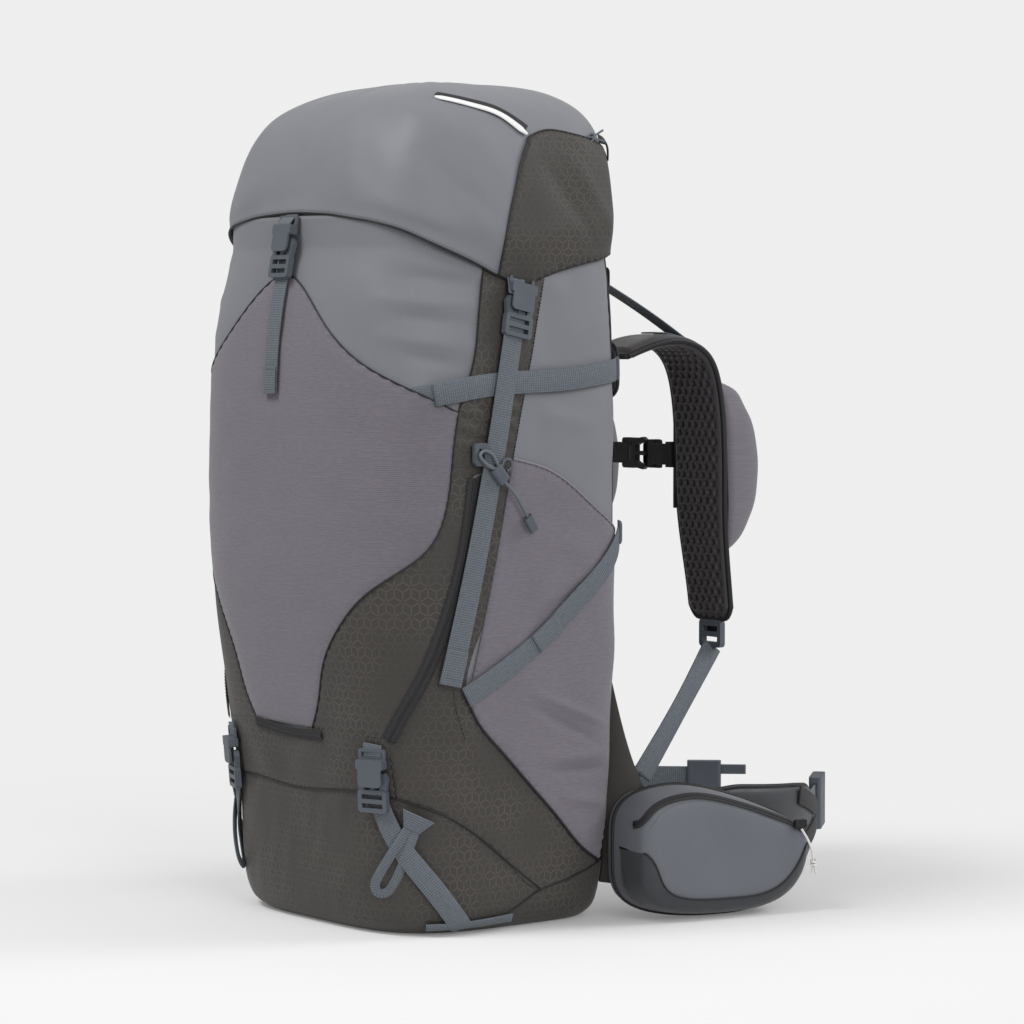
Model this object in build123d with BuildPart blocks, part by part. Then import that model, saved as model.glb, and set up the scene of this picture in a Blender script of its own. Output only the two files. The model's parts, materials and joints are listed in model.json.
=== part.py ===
"""Hiking backpack of about 65 litres, in millimetres.

+X is the pack's right side, -Y its front and +Y the wearer's side. +Z is up.
The origin is the middle of the flat base, where the pack stands on the floor.

The bag and the lid are lofted through level sections. Each section is a
rounded box: half width on X, one depth forwards and another backwards. Panels,
pockets and straps are thin layers between two such lofts, cut to an outline.
"""
import os
from math import cos, pi, radians, sin, tan

from build123d import *

os.makedirs("parts", exist_ok=True)

# ---- driving dimensions -------------------------------------------------------
bag_half_width = 168.0       # widest, at chest height
bag_front_depth = 170.0      # origin to the front face, at its fullest
bag_back_depth = 112.0       # origin to the back face
bag_height = 600.0           # floor to the rim
base_height = 58.0           # height of the base tray
lid_half_width = 167.0
lid_front_depth = 158.0
wall = 2.4                   # padded fabric wall
seam = 0.4                   # gap between sewn panels
layer_gap = 0.6              # gap between stacked fabric layers
cloth = 1.6                  # pocket fabric
webbing = 1.4                # webbing thickness
strap_width = 20.0           # compression and lid straps
hip_strap_width = 38.0       # hip belt webbing
front_roundness = 3.8
back_roundness = 4.5

buckle_width = 31.0
buckle_thickness = 9.0
plate = 2.0                  # buckle cover plate
buckle_play = 1.3            # between a buckle's two halves

lid_arch_rise = 57.0         # how far the lid's front edge arches above its sides
lid_side_edge = 571.0

strap_centre_x = 102.0       # shoulder strap centre
shoulder_width = 68.0
shoulder_foam = 13.0
wing_foam = 13.0
pocket_bulge = 34.0
side_tab_y = -30.0           # side release buckles
side_buckle_z = 545.0
front_buckle_z = 597.0
mat_buckle_x = 108.0
mat_buckle_z = 134.0

# ---- level sections: height share, then width, front and back shares ----------
bag_profile = [
    (0.0, 0.79, 0.725, 0.87), (0.008, 0.835, 0.765, 0.905), (0.025, 0.88, 0.803, 0.94),
    (0.055, 0.905, 0.826, 0.97), (0.1, 0.915, 0.835, 0.985), (0.18, 0.935, 0.842, 0.99),
    (0.27, 0.952, 0.877, 1.0), (0.34, 0.972, 0.912, 1.0), (0.44, 0.988, 0.96, 1.0),
    (0.54, 0.998, 0.992, 1.0), (0.64, 1.0, 1.0, 1.0), (0.74, 1.0, 1.0, 1.0),
    (0.84, 0.99, 0.988, 1.0), (0.92, 0.97, 0.95, 0.995), (1.0, 0.93, 0.885, 0.97),
]
lid_profile = [
    (560.0, 1.0, 1.0, 112.0), (605.0, 0.994, 0.981, 112.0), (645.0, 0.965, 0.935, 112.5),
    (682.0, 0.92, 0.862, 112.5), (712.0, 0.83, 0.757, 108.0), (734.0, 0.64, 0.57, 96.0),
    (746.0, 0.4, 0.34, 76.0),
]
collar_profile = [(600.0, 155.0, 148.0, 107.5), (622.0, 147.0, 135.0, 102.0),
                  (648.0, 132.0, 118.0, 94.0)]


def ring_points(width, front, back, count=36):
    """Points of one rounded-box section, anticlockwise from +X."""
    points = []
    for step in range(count):
        turn = 2 * pi * step / count
        along, across = abs(cos(turn)), abs(sin(turn))
        roundness, depth = (front_roundness, front) if sin(turn) < 0 else (back_roundness, back)
        reach = ((along / width) ** roundness + (across / depth) ** roundness) ** (-1 / roundness)
        points.append((reach * cos(turn), reach * sin(turn)))
    return points


def loft_rings(rings):
    """Solid through (height, width, front, back) rings."""
    with BuildPart() as form:
        for height, width, front, back in rings:
            with BuildSketch(Plane.XY.offset(height)):
                with BuildLine():
                    Spline(*ring_points(width, front, back), periodic=True)
                make_face()
        loft()
    return form.part


def bag_size(height):
    """Half width, front depth and back depth of the bag at a height."""
    share = height / bag_height
    below = max(row for row in bag_profile if row[0] <= share + 1e-9)
    above = min(row for row in bag_profile if row[0] >= share - 1e-9)
    blend = 0 if above[0] == below[0] else (share - below[0]) / (above[0] - below[0])
    sizes = (bag_half_width, bag_front_depth, bag_back_depth)
    return [size * (low + (high - low) * blend)
            for size, low, high in zip(sizes, below[1:], above[1:])]


def bag_x(y, height, grow):
    """X of the bag's side surface at a depth and height, pushed out by grow."""
    width, front, back = [size + grow for size in bag_size(height)]
    roundness, depth = (front_roundness, front) if y < 0 else (back_roundness, back)
    return width * (1 - (abs(y) / depth) ** roundness) ** (1 / roundness)


def bag_y(x, height, grow):
    """Y of the bag's front surface at a place and height, pushed out by grow."""
    width, front, _ = [size + grow for size in bag_size(height)]
    return -front * (1 - (abs(x) / width) ** front_roundness) ** (1 / front_roundness)


solids_made = {}


def bag_form(grow):
    """The bag's whole outer form, pushed out by grow."""
    if grow not in solids_made:
        rings = [(share[0] * bag_height, *[size + grow for size in bag_size(share[0] * bag_height)])
                 for share in bag_profile]
        solids_made[grow] = loft_rings(rings)
    return solids_made[grow]


def bag_layer(inner, outer):
    """A thin layer on the bag, from inner to outer, all the way round."""
    if (inner, outer) not in solids_made:
        with BuildPart() as layer:
            add(bag_form(outer))
            add(bag_form(inner), mode=Mode.SUBTRACT)
        solids_made[inner, outer] = layer.part
    return solids_made[inner, outer]


def lid_form(inset):
    """The lid's outer form, drawn in by inset; an inner form starts lower, to cut through."""
    shoulder, crown = lid_profile[2][0], lid_profile[-1][0]
    rings = []
    for height, width, front, back in lid_profile:
        narrowing = inset * (1.6 if height == crown else 1)
        sizes = (lid_half_width * width - narrowing, lid_front_depth * front - narrowing,
                 back - narrowing)
        if inset > 0 and not rings:
            rings.append((height - 10, *sizes))
        drop = 1.6 * inset * max(0, (height - shoulder) / (crown - shoulder))
        rings.append((height - drop, *sizes))
    return loft_rings(rings)


def side_prism(outline, side):
    """A prism through one side of the bag, its outline given in Y and Z."""
    with BuildPart() as prism:
        with BuildSketch(Plane.YZ):
            with BuildLine():
                Polyline(*outline, close=True)
            make_face()
        extrude(amount=side * 230)
    return prism.part


def front_prism(outline):
    """A prism through the front of the bag, its outline given in X and Z."""
    with BuildPart() as prism:
        with BuildSketch(Plane.XZ):
            with BuildLine():
                Polyline(*outline, close=True)
            make_face()
        extrude(amount=230)
    return prism.part


def band(start, end, width):
    """Outline of a straight strap between two points, square ended."""
    run, rise = end[0] - start[0], end[1] - start[1]
    length = (run ** 2 + rise ** 2) ** 0.5
    out = (-rise / length * width / 2, run / length * width / 2)
    return [(start[0] + out[0], start[1] + out[1]), (end[0] + out[0], end[1] + out[1]),
            (end[0] - out[0], end[1] - out[1]), (start[0] - out[0], start[1] - out[1])]


def finish(builder, name):
    """Label a finished piece and write it."""
    builder.part.label = name
    export_step(builder.part, f"parts/{name}.step")


# ---- bag: a wall of five sewn panels round an open hollow ------------------------
panel_split = 118.0
base_floor = 6.0
with BuildPart() as base_hollow:
    add(bag_form(-wall))
    with BuildSketch(Plane.XY.offset(base_floor)):
        Rectangle(400, 400)
    extrude(amount=base_height, mode=Mode.INTERSECT)

with BuildPart() as bag_base:
    add(bag_form(0))
    with BuildSketch(Plane.XY):
        Rectangle(400, 400)
    extrude(amount=base_height, mode=Mode.INTERSECT)
    add(base_hollow.part, mode=Mode.SUBTRACT)
finish(bag_base, "bag_base")


def wall_panel(centre_x, centre_y, width, depth):
    """The part of the bag's wall above the base that lies in a level rectangle."""
    with BuildPart() as panel:
        add(bag_layer(-wall, 0))
        with BuildSketch(Plane.XY.offset(base_height + seam)):
            with Locations((centre_x, centre_y)):
                Rectangle(width, depth)
        extrude(amount=bag_height, mode=Mode.INTERSECT)
    return panel


finish(wall_panel(0, -120, 2 * panel_split, 240), "bag_front_panel")
finish(wall_panel(0, 120, 2 * panel_split, 240), "bag_back_panel")
for side, hand in ((1, "right"), (-1, "left")):
    finish(wall_panel(side * (panel_split + seam + 60), 0, 120, 400), f"bag_side_panel_{hand}")

with BuildPart() as bag_collar:
    add(loft_rings([(h + seam, w, f, b) for h, w, f, b in collar_profile]))
    add(loft_rings([(h + seam, w - wall, f - wall, b - wall) for h, w, f, b in collar_profile]),
        mode=Mode.SUBTRACT)
finish(bag_collar, "bag_collar")

# ---- inner frame: a plastic sheet and two flat stays -------------------------------
sheet_thickness = 1.5
sheet_width, sheet_height = 170.0, 490.0
back_depth_at_base = bag_size(base_height)[2] - wall
sheet_y = 0.985 * back_depth_at_base - layer_gap - sheet_thickness / 2
with BuildPart() as frame_sheet:
    with BuildSketch(Plane.XZ.offset(-sheet_y)):
        with Locations((0, 310)):
            RectangleRounded(sheet_width, sheet_height, 30)
    extrude(amount=sheet_thickness / 2, both=True)
finish(frame_sheet, "frame_sheet")

stay_thickness = 3.0
stay_y = sheet_y - sheet_thickness / 2 - 0.3 - stay_thickness / 2
with BuildPart() as frame_stays:
    with BuildSketch(Plane.XZ.offset(-stay_y)):
        with Locations((-60, 310), (60, 310)):
            RectangleRounded(12, 470, 5)
    extrude(amount=stay_thickness / 2, both=True)
finish(frame_stays, "frame_stays")

# ---- back padding ----------------------------------------------------------------
pad_thickness = 9.0
lumbar_thickness = 15.0
belt_sleeve_low, belt_sleeve_high, belt_sleeve_reach = 26.0, 99.4, 148.0
pad_y = bag_back_depth + layer_gap
with BuildPart() as back_pads:
    with BuildSketch(Plane.XZ.offset(-pad_y)):
        with Locations((-68, 334), (68, 334)):
            RectangleRounded(52, 168, 20)
    extrude(amount=-pad_thickness)
    with BuildSketch(Plane.XZ.offset(-pad_y)):
        with Locations((0, 160)):
            RectangleRounded(150, 120, 30)
    extrude(amount=-lumbar_thickness)
    with BuildSketch(Plane.XZ.offset(-pad_y)):
        with Locations((0, (belt_sleeve_low + belt_sleeve_high) / 2)):
            Rectangle(2 * belt_sleeve_reach, belt_sleeve_high - belt_sleeve_low)
    extrude(amount=-5)
finish(back_pads, "back_pads")

# ---- stretch pockets ---------------------------------------------------------------
pocket_in = layer_gap
pocket_out = pocket_in + cloth
pocket_apex_z = 577.0
pocket_right_edge = [(0, pocket_apex_z), (75, 528), (126, 492), (150, 473), (152, 400),
                     (148, 296), (136, 218), (121, 172)]
pocket_outline = pocket_right_edge + [(-x, z) for x, z in reversed(pocket_right_edge[1:])]
with BuildPart() as front_pocket:
    add(bag_layer(pocket_in, pocket_out))
    add(front_prism(pocket_outline), mode=Mode.INTERSECT)
finish(front_pocket, "front_pocket")

side_pocket_outline = [(-6, 401), (79, 337), (92, 300), (96, 150), (88, 76), (30, 84),
                       (-40, 150), (-70, 186), (-76, 212), (-52, 300), (-24, 380)]
with BuildPart() as side_pockets:
    for side in (1, -1):
        add(side_prism(side_pocket_outline, side))
    add(bag_layer(pocket_in, pocket_out), mode=Mode.INTERSECT)
finish(side_pockets, "side_pockets")

# ---- compression straps along the sides ----------------------------------------------
strap_on_wall = (layer_gap, layer_gap + webbing)
strap_on_pocket = (pocket_out + layer_gap, pocket_out + layer_gap + webbing)
upper_strap_ends = ((-104, 474), (84, 489))
lower_strap_ends = ((-74, 222), (80, 331))
with BuildPart() as upper_compression_straps:
    for side in (1, -1):
        add(side_prism(band(*upper_strap_ends, strap_width), side))
    add(bag_layer(*strap_on_wall), mode=Mode.INTERSECT)
finish(upper_compression_straps, "upper_compression_straps")

with BuildPart() as lower_compression_straps:
    for side in (1, -1):
        add(side_prism(band(*lower_strap_ends, strap_width), side))
    add(bag_layer(*strap_on_pocket), mode=Mode.INTERSECT)
finish(lower_compression_straps, "lower_compression_straps")

side_strap_top = (side_tab_y - 2, side_buckle_z - 8)
side_strap_foot = (-96, 224)
with BuildPart() as lid_straps:
    for side in (1, -1):
        add(side_prism(band(side_strap_top, side_strap_foot, strap_width), side))
    add(front_prism(band((0, front_buckle_z - 10), (0, 474), strap_width)))
    add(bag_layer(*strap_on_pocket), mode=Mode.INTERSECT)
finish(lid_straps, "lid_straps")

mat_strap_foot = 12.0
with BuildPart() as mat_straps:
    for side in (1, -1):
        add(front_prism([(side * x, z) for x, z in band((mat_buckle_x, mat_buckle_z - 6),
                                                        (132, mat_strap_foot), strap_width)]))
    add(bag_layer(layer_gap, layer_gap + 2 * webbing), mode=Mode.INTERSECT)
finish(mat_straps, "mat_straps")

# ---- side release buckles -------------------------------------------------------------
# Each buckle lies flat in its own plane: x across, y along the strap, z outwards.
# The female half is a cover plate with a webbing bar; the male half has two prongs.


def female_half(place):
    """Cover plate, end block and webbing bar, open behind and at its sides."""
    with BuildPart() as half:
        with BuildSketch(place.offset(buckle_thickness - plate)):
            with Locations((0, 11)):
                RectangleRounded(buckle_width - 8, 24, 4)
        extrude(amount=plate)
        with BuildSketch(place):
            with Locations((0, 18.5)):
                RectangleRounded(buckle_width - 4, 9, 2)
        extrude(amount=buckle_thickness)
        with BuildSketch(place.offset(0.8)):
            with Locations((0, 27)):
                RectangleRounded(buckle_width - 4, 10, 2)
                Rectangle(strap_width + 1, 4.4, mode=Mode.SUBTRACT)
        extrude(amount=2.4)
    return half.part


def male_half(place):
    """Ladder lock with two prongs and a guide that reach under the cover plate."""
    prong_top = buckle_thickness - plate - buckle_play
    with BuildPart() as half:
        with BuildSketch(place):
            with Locations((0, -14)):
                RectangleRounded(buckle_width - 2, 20, 3)
            with Locations((0, -10), (0, -18)):
                Rectangle(strap_width + 1, 4.2, mode=Mode.SUBTRACT)
        extrude(amount=prong_top)
        with BuildSketch(place):
            for hand in (1, -1):
                with BuildLine():
                    Polyline((hand * 6.5, -5), (hand * 13.5, -5), (hand * 15.5, 6), (hand * 12.5, 11),
                             (hand * 9.5, 10), (hand * 10.5, 4), close=True)
                make_face()
            with Locations((0, 2)):
                RectangleRounded(4, 16, 1)
        extrude(amount=prong_top - 1)
    return half.part


buckle_lift = 0.9            # between a buckle and the webbing behind it
buckle_stand = strap_on_pocket[1] + buckle_lift
side_lean = radians(5.5)     # the sides slope in towards the rim
side_x = bag_x(side_tab_y, side_buckle_z - 25, buckle_stand) - 25 * sin(side_lean)
side_strap_lean = 12.0       # degrees that the side strap leans forward, going down
front_lean = radians(11.0)   # the front face slopes back towards the rim
front_y = bag_y(0, front_buckle_z - 28, buckle_stand) + 28 * sin(front_lean)
mat_lean = radians(4.5)      # the lower front face leans out, going up
mat_buckle_lift = 0.3        # the mat straps are two webbings thick under their buckles
mat_buckle_y = (bag_y(mat_buckle_x, mat_buckle_z - 12, layer_gap + 2 * webbing + mat_buckle_lift)
                - 12 * tan(mat_lean))

front_buckle_plane = Plane(origin=(0, front_y, front_buckle_z), x_dir=(1, 0, 0),
                           z_dir=(0, -cos(front_lean), sin(front_lean)))


def side_buckle_plane(side):
    """Upright plane on the bag's side, leaning with the strap."""
    lean = radians(side_strap_lean)
    across = Vector(0, side * cos(lean), -side * sin(lean))
    outwards = Vector(side * cos(side_lean), 0, sin(side_lean))
    across = across - outwards * across.dot(outwards)
    return Plane(origin=(side * side_x, side_tab_y, side_buckle_z), x_dir=across, z_dir=outwards)


def mat_buckle_plane(side):
    """Plane on the lower front corner, turned a little to its side."""
    turn = radians(22)
    outwards = (side * sin(turn) * cos(mat_lean), -cos(turn) * cos(mat_lean), -sin(mat_lean))
    return Plane(origin=(side * mat_buckle_x, mat_buckle_y, mat_buckle_z),
                 x_dir=(cos(turn), side * sin(turn), 0), z_dir=outwards)


with BuildPart() as lid_buckle_females:
    add(female_half(front_buckle_plane))
    for side in (1, -1):
        add(female_half(side_buckle_plane(side)))
    add(lid_form(-layer_gap), mode=Mode.SUBTRACT)
finish(lid_buckle_females, "lid_buckle_females")

with BuildPart() as front_buckle_male:
    add(male_half(front_buckle_plane))
finish(front_buckle_male, "front_buckle_male")

for side, hand in ((1, "right"), (-1, "left")):
    with BuildPart() as side_buckle_male:
        add(male_half(side_buckle_plane(side)))
    finish(side_buckle_male, f"side_buckle_male_{hand}")
    with BuildPart() as mat_buckle_male:
        add(male_half(mat_buckle_plane(side)))
    finish(mat_buckle_male, f"mat_buckle_male_{hand}")

with BuildPart() as mat_buckle_females:
    for side in (1, -1):
        add(female_half(mat_buckle_plane(side)))
finish(mat_buckle_females, "mat_buckle_females")

# webbing that carries the female halves: a flat tongue through each bar
tongue = 34.0


def carrier(place, length):
    """Straight webbing through a female half's bar and up to its seam."""
    with BuildPart() as strip:
        with BuildSketch(place.offset(3.5)):
            with Locations((0, 23.4 + length / 2)):
                Rectangle(strap_width, length)
        extrude(amount=webbing)
    return strip.part


with BuildPart() as lid_buckle_webbings:
    add(carrier(front_buckle_plane, tongue))
    for side in (1, -1):
        add(carrier(side_buckle_plane(side), tongue))
    add(lid_form(-layer_gap), mode=Mode.SUBTRACT)
finish(lid_buckle_webbings, "lid_buckle_webbings")

with BuildPart() as mat_buckle_webbings:
    for side in (1, -1):
        add(carrier(mat_buckle_plane(side), tongue))
    add(bag_form(pocket_out + layer_gap), mode=Mode.SUBTRACT)
finish(mat_buckle_webbings, "mat_buckle_webbings")

# ---- lid -------------------------------------------------------------------------------
lid_back_edge = bag_height + 0.2
arch = [(-200, 540), (200, 540), (200, lid_side_edge), (168, lid_side_edge)]
arch_steps = 6
for step in range(1, 2 * arch_steps):
    place_x = 168 * (1 - step / arch_steps)
    arch.append((place_x, lid_side_edge + lid_arch_rise * (1 - (abs(place_x) / 168) ** 2.2)))
arch += [(-168, lid_side_edge), (-200, lid_side_edge)]
with BuildPart() as lid_shell:
    add(lid_form(0))
    add(lid_form(wall), mode=Mode.SUBTRACT)
    add(front_prism(arch), mode=Mode.SUBTRACT)
    for side in (1, -1):
        add(side_prism([(-1, 540), (-1, lid_side_edge), (60, lid_back_edge - 12),
                        (90, lid_back_edge), (150, lid_back_edge), (150, 540)], side),
            mode=Mode.SUBTRACT)
finish(lid_shell, "lid_shell")

underside_z = 664.0
with BuildPart() as lid_underside:
    add(lid_form(wall + layer_gap))
    with BuildSketch(Plane.XY.offset(underside_z)):
        Rectangle(400, 400)
    extrude(amount=wall, mode=Mode.INTERSECT)
finish(lid_underside, "lid_underside")

# ---- loops ------------------------------------------------------------------------------
axe_tab = (136.0, 104.0)     # X and Z where the ice axe loop is sewn
axe_loop_drop = 66.0
axe_y = bag_y(axe_tab[0], axe_tab[1], strap_on_wall[1]) - 3.5
axe_turn = 42.0              # degrees, how far the corner faces sideways
for side, hand in ((1, "right"), (-1, "left")):
    axe_plane = Plane(origin=(side * (axe_tab[0] + 0.5), axe_y + 2.4, axe_tab[1]),
                      x_dir=(cos(radians(axe_turn)), side * sin(radians(axe_turn)), 0),
                      z_dir=(side * sin(radians(axe_turn)), -cos(radians(axe_turn)), 0))
    with BuildPart() as axe_loop:
        with BuildSketch(axe_plane):
            with BuildLine():
                Line((-5, 0), (5, 0))
                Line((5, 0), (11, -axe_loop_drop + 11))
                ThreePointArc((11, -axe_loop_drop + 11), (0, -axe_loop_drop), (-11, 11 - axe_loop_drop))
                Line((-11, 11 - axe_loop_drop), (-5, 0))
            make_face()
            with BuildLine():
                Polyline((0, -14), (6, 13 - axe_loop_drop), (0, 5 - axe_loop_drop),
                         (-6, 13 - axe_loop_drop), close=True)
            make_face(mode=Mode.SUBTRACT)
        extrude(amount=2.0)
    finish(axe_loop, f"axe_loop_{hand}")

haul_y = bag_back_depth + 0.2
with BuildPart() as haul_loop:
    with BuildSketch(Plane.XZ.offset(-haul_y)):
        with BuildLine():
            Polyline((-50, 574), (-46, 556), (-30, 546), (30, 546), (46, 556), (50, 574),
                     (38, 574), (35, 562), (26, 557), (-26, 557), (-35, 562), (-38, 574), close=True)
        make_face()
    extrude(amount=-3)
finish(haul_loop, "haul_loop")

# ---- pole holders: hook, cord lock and elastic cord on each side -------------------------
cord_diameter = 3.0
hook_y, hook_z = -74.0, 421.0
lock_y, lock_z = -57.0, 404.0
tag_y, tag_z = -22.0, 361.0
hook_x = bag_x(hook_y, hook_z, strap_on_pocket[1] + layer_gap) + 0.3
lock_x = hook_x + 5.6
with BuildPart() as pole_clips:
    for side in (1, -1):
        with BuildSketch(Plane.YZ.offset(side * hook_x)):
            with Locations((hook_y, hook_z)):
                RectangleRounded(15, 20, 4)
                Rectangle(6, 10, mode=Mode.SUBTRACT)
        extrude(amount=side * 4)
        lock_axis = Plane(origin=(side * lock_x, lock_y, lock_z), z_dir=(0, 0.643, -0.766),
                          x_dir=(1, 0, 0))
        with BuildSketch(lock_axis.offset(-8)):
            RectangleRounded(9, 12, 3)
        extrude(amount=16)
finish(pole_clips, "pole_clips")


def cord_line(route):
    """Straight runs joined by the largest tangent arcs, and the arcs' radii."""
    stops = [Vector(*point) for point in route]
    runs = [stops[i + 1] - stops[i] for i in range(len(stops) - 1)]
    radii = [0.45 * min(a.length, b.length) / tan(radians(a.get_angle(b)) / 2)
             for a, b in zip(runs, runs[1:])]
    with BuildLine() as line:
        FilletPolyline(*route, radius=radii)
    print("cord radii", [round(radius, 1) for radius in radii])
    return line.wires()[0]


def cord_tube(path, diameter, name):
    """Round cord along a path, its volume compared with its length."""
    with BuildPart() as tube:
        with BuildSketch(Plane(origin=path @ 0, z_dir=path % 0)):
            Circle(diameter / 2)
        sweep(path=path)
    print(name, "length", round(path.length, 1),
          "volume over section", round(tube.part.volume / (pi * diameter ** 2 / 4), 1))
    return tube


cord_route = [(lock_x, lock_y + 5.4, lock_z - 6.4), (lock_x + 1.5, -41, 388),
              (lock_x + 1.2, -33, 376), (lock_x + 0.4, tag_y - 4, tag_z + 5)]
for side, hand in ((1, "right"), (-1, "left")):
    pole_cord_path = cord_line([(side * x, y, z) for x, y, z in cord_route])
    pole_cord = cord_tube(pole_cord_path, cord_diameter, f"pole_cord_{hand}")
    finish(pole_cord, f"pole_cord_{hand}")

with BuildPart() as pole_cord_ends:
    for side in (1, -1):
        run_y, run_z = cord_route[-1][1] - cord_route[-2][1], cord_route[-1][2] - cord_route[-2][2]
        run_x = side * (cord_route[-1][0] - cord_route[-2][0])
        end_axis = Plane(origin=(side * cord_route[-1][0], *cord_route[-1][1:]),
                         z_dir=(run_x, run_y, run_z), x_dir=(1, 0, 0))
        with BuildSketch(end_axis):
            RectangleRounded(5, 9, 2)
        extrude(amount=15)
finish(pole_cord_ends, "pole_cord_ends")

# ---- harness ------------------------------------------------------------------------------
yoke_y = pad_y + 0.3
yoke_low, yoke_high = 462.0, 522.0
with BuildPart() as yoke:
    with BuildSketch(Plane.XZ.offset(-yoke_y)):
        with Locations((0, (yoke_low + yoke_high) / 2)):
            RectangleRounded(260, yoke_high - yoke_low, 22)
    extrude(amount=-9)
finish(yoke, "yoke")

strap_inner_line = [(yoke_y + 13.6, 498.0), (160.0, 509.0), (190.0, 511.0), (214.0, 500.0),
                    (227.0, 470.0), (232.0, 420.0), (235.0, 350.0), (243.0, 290.0), (247.0, 258.0)]


def strap_line(offset_by):
    """The shoulder strap's side view, pushed outwards from its inner face."""
    moved = []
    for index, (y, z) in enumerate(strap_inner_line):
        before = strap_inner_line[max(index - 1, 0)]
        after = strap_inner_line[min(index + 1, len(strap_inner_line) - 1)]
        run, rise = after[0] - before[0], after[1] - before[1]
        length = (run ** 2 + rise ** 2) ** 0.5
        moved.append((y - rise / length * offset_by, z + run / length * offset_by))
    return moved


def strap_solid(side, inner, outer, first, last, half_width):
    """Part of a shoulder strap between two offsets of its inner face."""
    with BuildPart() as piece:
        with BuildSketch(Plane.YZ.offset(side * strap_centre_x)):
            with BuildLine():
                lower = strap_line(inner)[first:last]
                upper = strap_line(outer)[first:last]
                Spline(*lower)
                Line(lower[-1], upper[-1])
                Spline(*upper)
                Line(upper[0], lower[0])
            make_face()
        extrude(amount=half_width, both=True)
    return piece.part


strap_last = len(strap_inner_line)
for side, hand in ((1, "right"), (-1, "left")):
    with BuildPart() as shoulder_strap:
        add(strap_solid(side, 0, shoulder_foam, 0, strap_last, shoulder_width / 2))
    finish(shoulder_strap, f"shoulder_strap_{hand}")

with BuildPart() as strap_pockets:
    for side in (1, -1):
        with BuildSketch(Plane.YZ.offset(side * strap_centre_x)):
            with BuildLine():
                Spline((238.0, 484.0), (245.4, 472.0), (246.9, 420.0), (249.9, 350.0), (255.4, 318.0))
                Spline((255.4, 318.0), (278.0, 332.0), (297.0, 370.0), (301.0, 402.0),
                       (291.0, 446.0), (266.0, 476.0), (238.0, 484.0))
            make_face()
        extrude(amount=shoulder_width / 2 - 6, both=True)
finish(strap_pockets, "strap_pockets")

strap_foot = (strap_inner_line[-1][0] + shoulder_foam / 2, strap_inner_line[-1][1])
with BuildPart() as harness_ladder_locks:
    for side in (1, -1):
        with BuildSketch(Plane.XZ.offset(-(strap_foot[0] - 3))):
            with Locations((side * strap_centre_x, strap_foot[1] - 13.4)):
                RectangleRounded(30, 26, 4)
            with Locations((side * strap_centre_x, strap_foot[1] - 9),
                           (side * strap_centre_x, strap_foot[1] - 19)):
                Rectangle(strap_width + 1, 5, mode=Mode.SUBTRACT)
        extrude(amount=-6)
finish(harness_ladder_locks, "harness_ladder_locks")


def sloping_strap(start, end, width, thickness):
    """Flat webbing between two points, its width kept level."""
    run = Vector(*end) - Vector(*start)
    across = run.cross(Vector(0, 0, 1)).normalized()
    with BuildPart() as strip:
        with BuildSketch(Plane(origin=start, x_dir=tuple(across), z_dir=tuple(run.normalized()))):
            Rectangle(width, thickness)
        extrude(amount=run.length)
    return strip.part


lower_anchor = (142.0, bag_back_depth + 22, 124.0)
with BuildPart() as strap_webbings:
    for side in (1, -1):
        add(sloping_strap((side * strap_centre_x, strap_foot[0], strap_foot[1] - 27.0),
                          (side * lower_anchor[0], lower_anchor[1], lower_anchor[2]),
                          strap_width, webbing))
finish(strap_webbings, "strap_webbings")

lifter_top = (108.0, bag_back_depth + 3.9, 566.0)
lifter_foot = (strap_centre_x, 217.0, 516.8)
with BuildPart() as load_lifters:
    for side in (1, -1):
        add(sloping_strap((side * lifter_foot[0], lifter_foot[1], lifter_foot[2]),
                          (side * lifter_top[0], lifter_top[1], lifter_top[2]), strap_width, webbing))
finish(load_lifters, "load_lifters")

with BuildPart() as harness_anchors:
    for side in (1, -1):
        with BuildSketch(Plane.XZ.offset(-(bag_back_depth + 0.4))):
            with Locations((side * lifter_top[0], lifter_top[2] + 8)):
                RectangleRounded(26, 22, 3)
        extrude(amount=-2.4)
        with BuildSketch(Plane.XZ.offset(-(bag_back_depth + 0.4))):
            with BuildLine():
                Polyline((side * 112, 112), (side * 150, 112), (side * 150, 134), (side * 132, 134),
                         close=True)
            make_face()
        extrude(amount=-17.9)
finish(harness_anchors, "harness_anchors")

# ---- sternum strap --------------------------------------------------------------------------
sternum_z = 411.0
sternum_y = 239.0
rail_x = strap_centre_x - shoulder_width / 2 - 3.4
with BuildPart() as sternum_rails:
    for side in (1, -1):
        with BuildSketch(Plane.XY.offset(sternum_z - 50)):
            with Locations((side * (rail_x + 1.4), sternum_y)):
                Rectangle(3.0, 3.0)
        extrude(amount=100)
finish(sternum_rails, "sternum_rails")

with BuildPart() as sternum_sliders:
    for side in (1, -1):
        with BuildSketch(Plane.XY.offset(sternum_z - 12)):
            with Locations((side * (rail_x - 4.6), sternum_y)):
                Rectangle(8.0, 8.0)
        extrude(amount=24)
finish(sternum_sliders, "sternum_sliders")

sternum_buckle_plane = Plane(origin=(10, sternum_y + webbing / 2 + 0.5, sternum_z),
                             x_dir=(0, 0, 1), z_dir=(0, 1, 0))
with BuildPart() as sternum_buckle_female:
    add(female_half(sternum_buckle_plane))
finish(sternum_buckle_female, "sternum_buckle_female")
with BuildPart() as sternum_buckle_male:
    add(male_half(sternum_buckle_plane))
finish(sternum_buckle_male, "sternum_buckle_male")

with BuildPart() as sternum_strap:
    for low_x, high_x in ((-rail_x + 9.4, -2), (32, rail_x - 9.4)):
        with BuildSketch(Plane.XY.offset(sternum_z - strap_width / 2)):
            with Locations(((low_x + high_x) / 2, sternum_y)):
                Rectangle(high_x - low_x, webbing)
        extrude(amount=strap_width)
finish(sternum_strap, "sternum_strap")

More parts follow.
